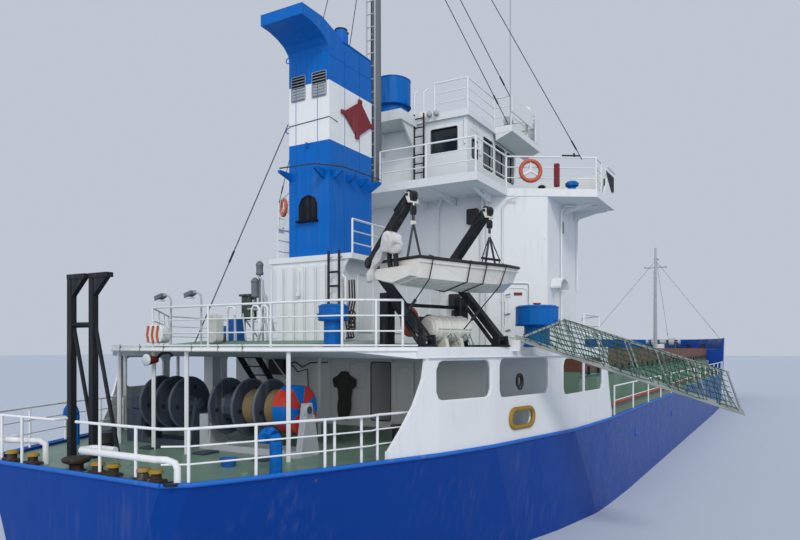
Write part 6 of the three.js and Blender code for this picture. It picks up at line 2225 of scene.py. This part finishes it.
@dataclass
class BoatStation:
    """Blocks, falls and sheaves on the davits, and the fittings of the boat and the liferaft.

    corner and turn place the boat's frame. tip holds an arm's tip, inboard and up. sections gives the rub
    rail's places along the boat, half breadths and heights. raft has the liferaft's place inboard, the height
    of its axis and its radius.
    """

    corner: Span = (4.1, -4.65)
    turn: float = -18.0
    stations: Span = (0.65, 3.15)
    tip: Span = (0.1, 8.47)
    thwarts: tuple[float, ...] = (0.9, 1.75, 2.6)
    raft: Point = (0.47, 5.62, 0.3)
    raft_bands: tuple[float, ...] = (1.66, 1.92, 2.28, 2.54)
    sections: tuple[tuple[float, float, float], ...] = (
        (0.2, 0.64, 7.04), (1.6, 0.78, 7.02), (2.8, 0.74, 7.05), (3.6, 0.48, 7.08), (4.05, 0.06, 7.16),
    )

    def build(self) -> None:
        """Make the davits', the boat's and the liferaft's fittings."""
        self._davits()
        self._boat_winch()
        self._boat()
        self._falls()
        self._slings()
        self._lashings()
        self._motor()
        self._liferaft()

    def _at(self, along: float, inboard: float, z: float) -> Point:
        """Give a point of the boat's frame.

        Args:
            along: How far forward of the boat's stern.
            inboard: How far inboard of her keel.
            z: The height.

        Returns:
            The point, full size.
        """
        turn = math.radians(self.turn)
        c, s = math.cos(turn), math.sin(turn)
        return (self.corner[0] + along * c - inboard * s, self.corner[1] + along * s + inboard * c, z)

    def _run(self, *places: Point) -> list[Point]:
        """Give several points of the boat's frame."""
        return [self._at(*place) for place in places]

    def _davits(self) -> None:
        """Make each arm's wire, tip plates and heel."""
        for index, along in enumerate(self.stations):
            u, z = self.tip
            wire = self._run((along + 0.1, u + 0.02, z + 0.08), (along + 0.1, 1.42, 7.28))
            dress(pipes(f"davit_wire_{index + 1}", [wire], 0.012), Paint.WIRE, "davit_arms")
            plates = []
            tip = ((u, z + 0.09), (u + 0.45, z - 0.27), (u + 0.38, z - 0.37), (u - 0.07, z - 0.06))
            for offset in (-0.1, 0.1):
                line = [self._at(along + offset, a, b) for a, b in tip]
                plates.append(pipes("plate", [line], 0.022, closed=True))
            dress(joined(f"davit_tip_plates_{index + 1}", plates), Paint.BLACK, "davit_arms")
            heel = [self._run((along - 0.13, 1.45, 7.13), (along + 0.13, 1.45, 7.13))]
            dress(pipes(f"davit_heel_{index + 1}", heel, 0.09, turns=4), Paint.BLACK, "davit_arms")

    def _boat_winch(self) -> None:
        """Make the winch between the stands with its wire, and the stands' braces."""
        drum = pipes("drum", [self._run((1.6, 1.25, 5.75), (2.3, 1.25, 5.75))], 0.17, turns=5)
        ends = pipes(
            "ends", [self._run((a, 1.25, 5.75), (a + 0.04, 1.25, 5.75)) for a in (1.58, 2.28)], 0.25,
            turns=5,
        )
        dress(joined("boat_winch", [drum, ends]), Paint.BLACK)
        rope = [self._run((1.6 + 0.07 * n, 1.25, 5.75), (1.65 + 0.07 * n, 1.25, 5.75)) for n in range(1, 9)]
        dress(pipes("boat_winch_wire", rope, 0.19, turns=5), Paint.WIRE)
        braces = [
            self._run((along + 0.31, 1.26, 6.4), (along + 0.31, 0.2, 5.3)) for along in self.stations
        ]
        dress(pipes("davit_braces", braces, 0.05), Paint.BLACK)

    def _boat(self) -> None:
        """Make the boat's rub rail, strake and thwarts."""
        body = "lifeboat"
        rail = [self._at(a, -half, z) for a, half, z in self.sections]
        rail += [self._at(a, half, z) for a, half, z in self.sections[::-1]]
        dress(pipes("boat_rub_rail", [rail], 0.035, closed=True, turns=3), Paint.RUBBER, body)
        strake = [[self._at(a, -half * 0.97, z - 0.1) for a, half, z in self.sections[:-1]]]
        dress(pipes("boat_strake", strake, 0.018), Paint.LAMINATE, body)
        thwarts = []
        for along in self.thwarts:
            corners = ((0, -0.66), (0.24, -0.66), (0.24, 0.66), (0, 0.66))
            outline = [self._at(along + da, side, 6.88) for da, side in corners]
            thwarts.append(slab("thwart", outline, (0, 0, 0.05), 0.008))
        dress(joined("boat_thwarts", thwarts), Paint.LAMINATE, body)

    def _falls(self) -> None:
        """Make the sheave blocks, their hooks and the falls that hang from the arms' tips."""
        body = "lifeboat"
        u, z = self.tip
        blocks, hooks, falls = [], [], []
        width = Vector(self._at(0.1, 0, 0)) - Vector(self._at(0, 0, 0))
        for along in self.stations:
            ring = rounded((-0.06, z - 0.44), (0.06, z - 0.22), 0.055)
            blocks.append(
                slab(
                    "sheave_block", [self._at(along - 0.05, u - 0.055 + a, b) for a, b in ring],
                    tuple(width), 0.012,
                )
            )
            hooks.append(self._run((along, u - 0.055, z - 0.44), (along, u - 0.055, z - 0.6)))
            for offset in (-0.04, 0.04):
                falls.append(
                    self._run((along + offset, u - 0.06, z - 0.08), (along + offset, u - 0.06, z - 0.3))
                )
        dress(joined("fall_blocks", blocks), Paint.BLACK, body)
        dress(pipes("fall_hooks", hooks, 0.035), Paint.WIRE, body)
        dress(pipes("falls", falls, 0.014), Paint.WIRE, body)

    def _slings(self) -> None:
        """Make the fore sling's bar with its legs, and the sling chains of both stations."""
        body = "lifeboat"
        u, z = self.tip
        fore = self.stations[1]
        bar = pipes("bar", [self._run((fore - 0.33, 0, 7.3), (fore + 0.33, 0, 7.3))], 0.03)
        legs = [
            self._run(
                (fore, u - 0.055, z - 0.6), (fore + side * 0.31, 0, 7.33), (fore + side * 0.31, 0, 6.84)
            )
            for side in (-1, 1)
        ]
        dress(joined("sling_bar", [bar, pipes("legs", legs, 0.014)]), Paint.BLACK, body)
        slings = [
            self._run((along, u - 0.055, z - 0.6), (along + side * 0.3, 0, 6.7))
            for along in self.stations
            for side in (-1, 1)
        ]
        dress(pipes("sling_chains", slings, 0.026), Paint.WIRE, body)

    def _lashings(self) -> None:
        """Make the lashings round the boat: two girths, and two that end in a tail with a screw."""
        body = "lifeboat"
        straps, screws = [], []
        for along, half, chine, keel, tail in (
            (0.52, 0.68, 0.6, 6.49, (-0.12, -0.5, 5.8)),
            (1.55, 0.78, 0.67, 6.45, None),
            (2.1, 0.77, 0.64, 6.46, None),
            (2.8, 0.74, 0.58, 6.47, (1.75, -0.42, 5.6)),
        ):
            run = self._run(
                (along, half + 0.02, 7.06), (along, chine + 0.02, 6.6), (along, 0.0, keel - 0.02),
                (along, -chine - 0.02, 6.6), (along, -half - 0.03, 7.06),
            )
            if tail:
                over = (
                    (along, -half + 0.1, 7.1), (along, -half - 0.03, 7.06),
                    (along - 0.05, -chine - 0.03, 6.6),
                )
                run = self._run(*over, tail)
                start, end = Vector(run[-2]), Vector(run[-1])
                screws.append([tuple(start.lerp(end, 0.55)), tuple(start.lerp(end, 0.8))])
            straps.append(run)
        dress(pipes("boat_lashings", straps, 0.014), Paint.BLACK, body)
        dress(pipes("lashing_screws", screws, 0.034), Paint.BLACK, body)

    def _motor(self) -> None:
        """Make the outboard motor: a black clamp on the stern under a slack cloth that hangs to port."""
        body = "lifeboat"
        length = tuple(Vector(self._at(0.36, 0, 0)) - Vector(self._at(0, 0, 0)))
        hood = (
            (-0.13, 7.14), (-0.18, 7.34), (-0.12, 7.53), (0.0, 7.6), (0.12, 7.52), (0.17, 7.34),
            (0.15, 7.16),
        )
        tail = (
            (0.1, 7.3), (0.2, 7.36), (0.5, 7.06), (0.66, 6.84), (0.74, 6.58), (0.62, 6.6), (0.52, 6.86),
            (0.3, 7.0),
        )
        cloths = [
            slab("hood", [self._at(-0.19, inboard, z) for inboard, z in hood], length, 0.04),
            slab(
                "tail", [self._at(-0.1, inboard, z) for inboard, z in tail],
                tuple(share * 0.3 for share in length), 0.02,
            ),
        ]

        def crumple() -> None:
            """Cut the faces into small triangles and let them fold."""
            bpy.ops.mesh.quads_convert_to_tris()
            bpy.ops.mesh.subdivide(number_cuts=3, smoothness=0.4, fractal=1.8, seed=7)

        cover = smooth(edit(joined("motor_cover", cloths), crumple), 50)
        dress(cover, Paint.CANVAS, body, instead_of=("outboard_motor",))
        clamp = [
            self._run((0.02, side, 7.2), (0.02, side * 1.15, 7.02), (0.04, side, 6.87))
            for side in (-0.09, 0.09)
        ]
        dress(pipes("motor_clamp", clamp, 0.055, turns=3), Paint.BLACK, body)

    def _liferaft(self) -> None:
        """Make the raft's bands, its seam, its domed ends and the hooks that hold it."""
        side, axis, radius = self.raft
        bands = []
        for along in self.raft_bands:
            ring = []
            for step in range(24):
                angle = 2 * math.pi * step / 24
                reach = radius + 0.004
                ring.append(self._at(along, side + reach * math.cos(angle), axis + reach * math.sin(angle)))
            bands.append(ring)
        dress(pipes("raft_bands", bands, 0.016, closed=True), Paint.LAMINATE)
        seam = [[self._at(a, side - radius - 0.004, axis) for a in (1.55, 2.65)]]
        dress(pipes("raft_seam", seam, 0.02), Paint.CANVAS)
        caps = [
            pipes("cap", [self._run((1.55 - out, side, axis), (2.65 + out, side, axis))], reach, turns=6)
            for out, reach in ((0.05, 0.275), (0.09, 0.22))
        ]
        dress(joined("raft_ends", caps), Paint.LAMINATE)
        feet = []
        for along in (1.85, 2.35):
            feet.append(self._run((along, -0.06, 5.24), (along, 0.08, 5.5), (along, 0.2, 5.42)))
            feet.append(self._run((along + 0.12, -0.06, 5.24), (along + 0.12, 0.08, 5.5)))
        dress(pipes("raft_hooks", feet, 0.013), Paint.MAST)


@dataclass
class Gangway:
    """The green safety net on the gangway's rails and the treads on its floor."""

    hinge: Span = (8.25, -5.88)
    height: float = 5.42
    slope: float = 0.325
    turn: float = 0.35
    half: float = 0.3
    net_rows: tuple[float, ...] = (0.02, 0.14, 0.28, 0.42, 0.56, 0.7, 0.84, 0.97)
    net_uprights: int = 36
    treads: int = 15

    def _at(self, along: float, side: float, up: float) -> Point:
        """Give a point of the gangway.

        Args:
            along: How far out along it from its hinge.
            side: How far to its side.
            up: How far up from its floor.

        Returns:
            The point, full size.
        """
        out = along * math.cos(self.slope) - up * math.sin(self.slope)
        rise = up * math.cos(self.slope) - along * math.sin(self.slope)
        x = self.hinge[0] + out * math.sin(self.turn) + side * math.cos(self.turn)
        y = self.hinge[1] - out * math.cos(self.turn) + side * math.sin(self.turn)
        return (x, y, self.height + rise)

    def _run(self, *places: Point) -> list[Point]:
        """Give several points of the gangway."""
        return [self._at(*place) for place in places]

    def build(self) -> None:
        """Make the net, of wavy level cords and slack upright ones, and the treads."""
        body = "gangway_bridge"
        cords = []
        for side in (-self.half, self.half):
            out = 0.04 if side > 0 else -0.04
            for share in self.net_rows:
                places = [0.15 + 1.36 * share + (5.4 - 1.36 * share) * n / 22 for n in range(22)]
                cords.append(
                    [
                        self._at(a, side + out * (1.6 + math.sin(5 * a)), share + 0.03 * math.sin(4 * a))
                        for a in places
                    ]
                )
            for n in range(self.net_uprights):
                along = 0.2 + 0.145 * n
                top = min(1.0, 0.04 + 0.66 * along)
                bend = 0.09 * math.sin(2.3 * n)
                middle = self._at(along + bend, side + out * 2.2, top * 0.5)
                cords.append(
                    [self._at(along, side + out, top), middle, self._at(along - bend, side + out, 0.0)]
                )
        dress(pipes("gangway_net", cords, 0.0095, turns=1), Paint.ROPE_GREEN, body)
        treads = [
            self._run((0.2 + 0.35 * n, -self.half + 0.02, 0.045), (0.2 + 0.35 * n, self.half - 0.02, 0.045))
            for n in range(self.treads)
        ]
        dress(pipes("gangway_treads", treads, 0.018, turns=1), Paint.ALLOY, body)


@dataclass
class CargoHatch:
    """Ribs and cleats of the hatch covers, the coaming's bars and the main deck's red fire mains."""

    aft: float = 17.2
    fore: float = 60.8
    cover: float = 5.05
    covers: int = 4
    ribs: int = 8
    cleats: int = 7

    def build(self) -> None:
        """Make the covers' ribs and cleats, then the bars and mains along both sides."""
        length = (self.fore - self.aft) / self.covers
        for index in range(self.covers):
            start = self.aft + index * length
            ribs = [
                block(
                    (start + 0.4 + 1.45 * n, -5.0, self.cover - 0.02),
                    (start + 0.48 + 1.45 * n, 5.0, self.cover + 0.03), 0.008,
                )
                for n in range(self.ribs)
            ]
            dress(joined(f"cover_ribs_{index + 1}", ribs), Paint.COVER)
            cleat = block(
                origin_point((-0.09, -0.04, -0.16)), origin_point((0.09, 0.04, 0.16)), 0.015, "cleat"
            )
            places = [
                at((start + 0.9 + 1.5 * n, side * 5.14, 4.3)) for n in range(self.cleats) for side in (-1, 1)
            ]
            dress(copies(f"cover_cleats_{index + 1}", cleat, places), Paint.BLACK)
        bars = [[(self.aft, side * 5.03, 4.12), (self.fore, side * 5.03, 4.12)] for side in (-1, 1)]
        dress(pipes("coaming_bars", bars, 0.05), Paint.GREEN)
        mains = [[(16.0, side * 5.75, 2.95), (61.0, side * 5.75, 2.95)] for side in (-1, 1)]
        dress(pipes("fire_mains", mains, 0.06), Paint.RED)


@dataclass
class Forecastle:
    """Bollards, fairleads and a hatch on the forecastle, the anchors' chains and the bulwark's cap."""

    deck: float = 5.0
    bollards: tuple[Span, ...] = ((66.4, 4.2), (70.6, 2.3))
    fairleads: tuple[Span, ...] = ((67.0, 5.72), (71.5, 4.0))
    bulwark: tuple[Span, ...] = (
        (61.5, 6.5), (63.0, 6.45), (66.0, 6.0), (68.0, 5.6), (71.0, 4.4), (72.6, 3.4), (73.5, 2.6),
        (74.3, 1.6), (75.0, 0.3),
    )

    def build(self) -> None:
        """Make each fitting."""
        z = self.deck
        post = turned(
            "post", origin_point(),
            ((0.15, 0.0), (0.13, 0.04), (0.13, 0.42), (0.17, 0.45), (0.17, 0.5), (0.1, 0.52)), 18,
        )
        places = [
            at((x + dx, side * y, z)) for side in (-1, 1) for x, y in self.bollards for dx in (0.0, 0.6)
        ]
        dress(copies("bow_bollards", post, places), Paint.BLACK)
        chocks = [
            block((x - 0.3, side * y - 0.1, 6.0), (x + 0.3, side * y + 0.1, 6.06), 0.01)
            for side in (-1, 1)
            for x, y in self.fairleads
        ]
        dress(joined("bow_fairleads", chocks), Paint.YELLOW)
        dress(block((66.2, -0.45, z), (67.1, 0.45, z + 0.5), 0.04, "forepeak_hatch"), Paint.WHITE)
        chains = [
            [(68.75, side * 0.88, z + 0.7), (69.9, side * 1.4, z + 0.15), (70.4, side * 2.6, z + 0.1)]
            for side in (-1, 1)
        ]
        dress(pipes("anchor_chains", chains, 0.06), Paint.BLACK)
        cap = [[(x, side * (y - 0.06), 6.0) for x, y in self.bulwark] for side in (-1, 1)]
        dress(pipes("bulwark_cap", cap, 0.06), Paint.RUBBING)


def main() -> None:
    """Build the studio and every sub-assembly in order."""
    logging.basicConfig(level=logging.INFO, format="%(message)s")
    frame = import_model()
    Studio().build()
    paint_nodes(frame["nodes"])
    for assembly in (
        HullTrim(),
        GuardRails(),
        SternRails(),
        MooringDeck(),
        Winches(),
        AwningEdge(),
        LowerHouse(),
        PoopShell(),
        BoatDeckGear(),
        Casing(),
        Funnel(),
        UpperHouse(),
        BridgeWings(),
        Wheelhouse(),
        CompassDeck(),
        Masts(),
        BoatStation(),
        Gangway(),
        CargoHatch(),
        Forecastle(),
        Rigging(),
    ):
        assembly.build()
    LOG.info("%d pieces", len(PIECES))


if __name__ == "__main__":
    main()
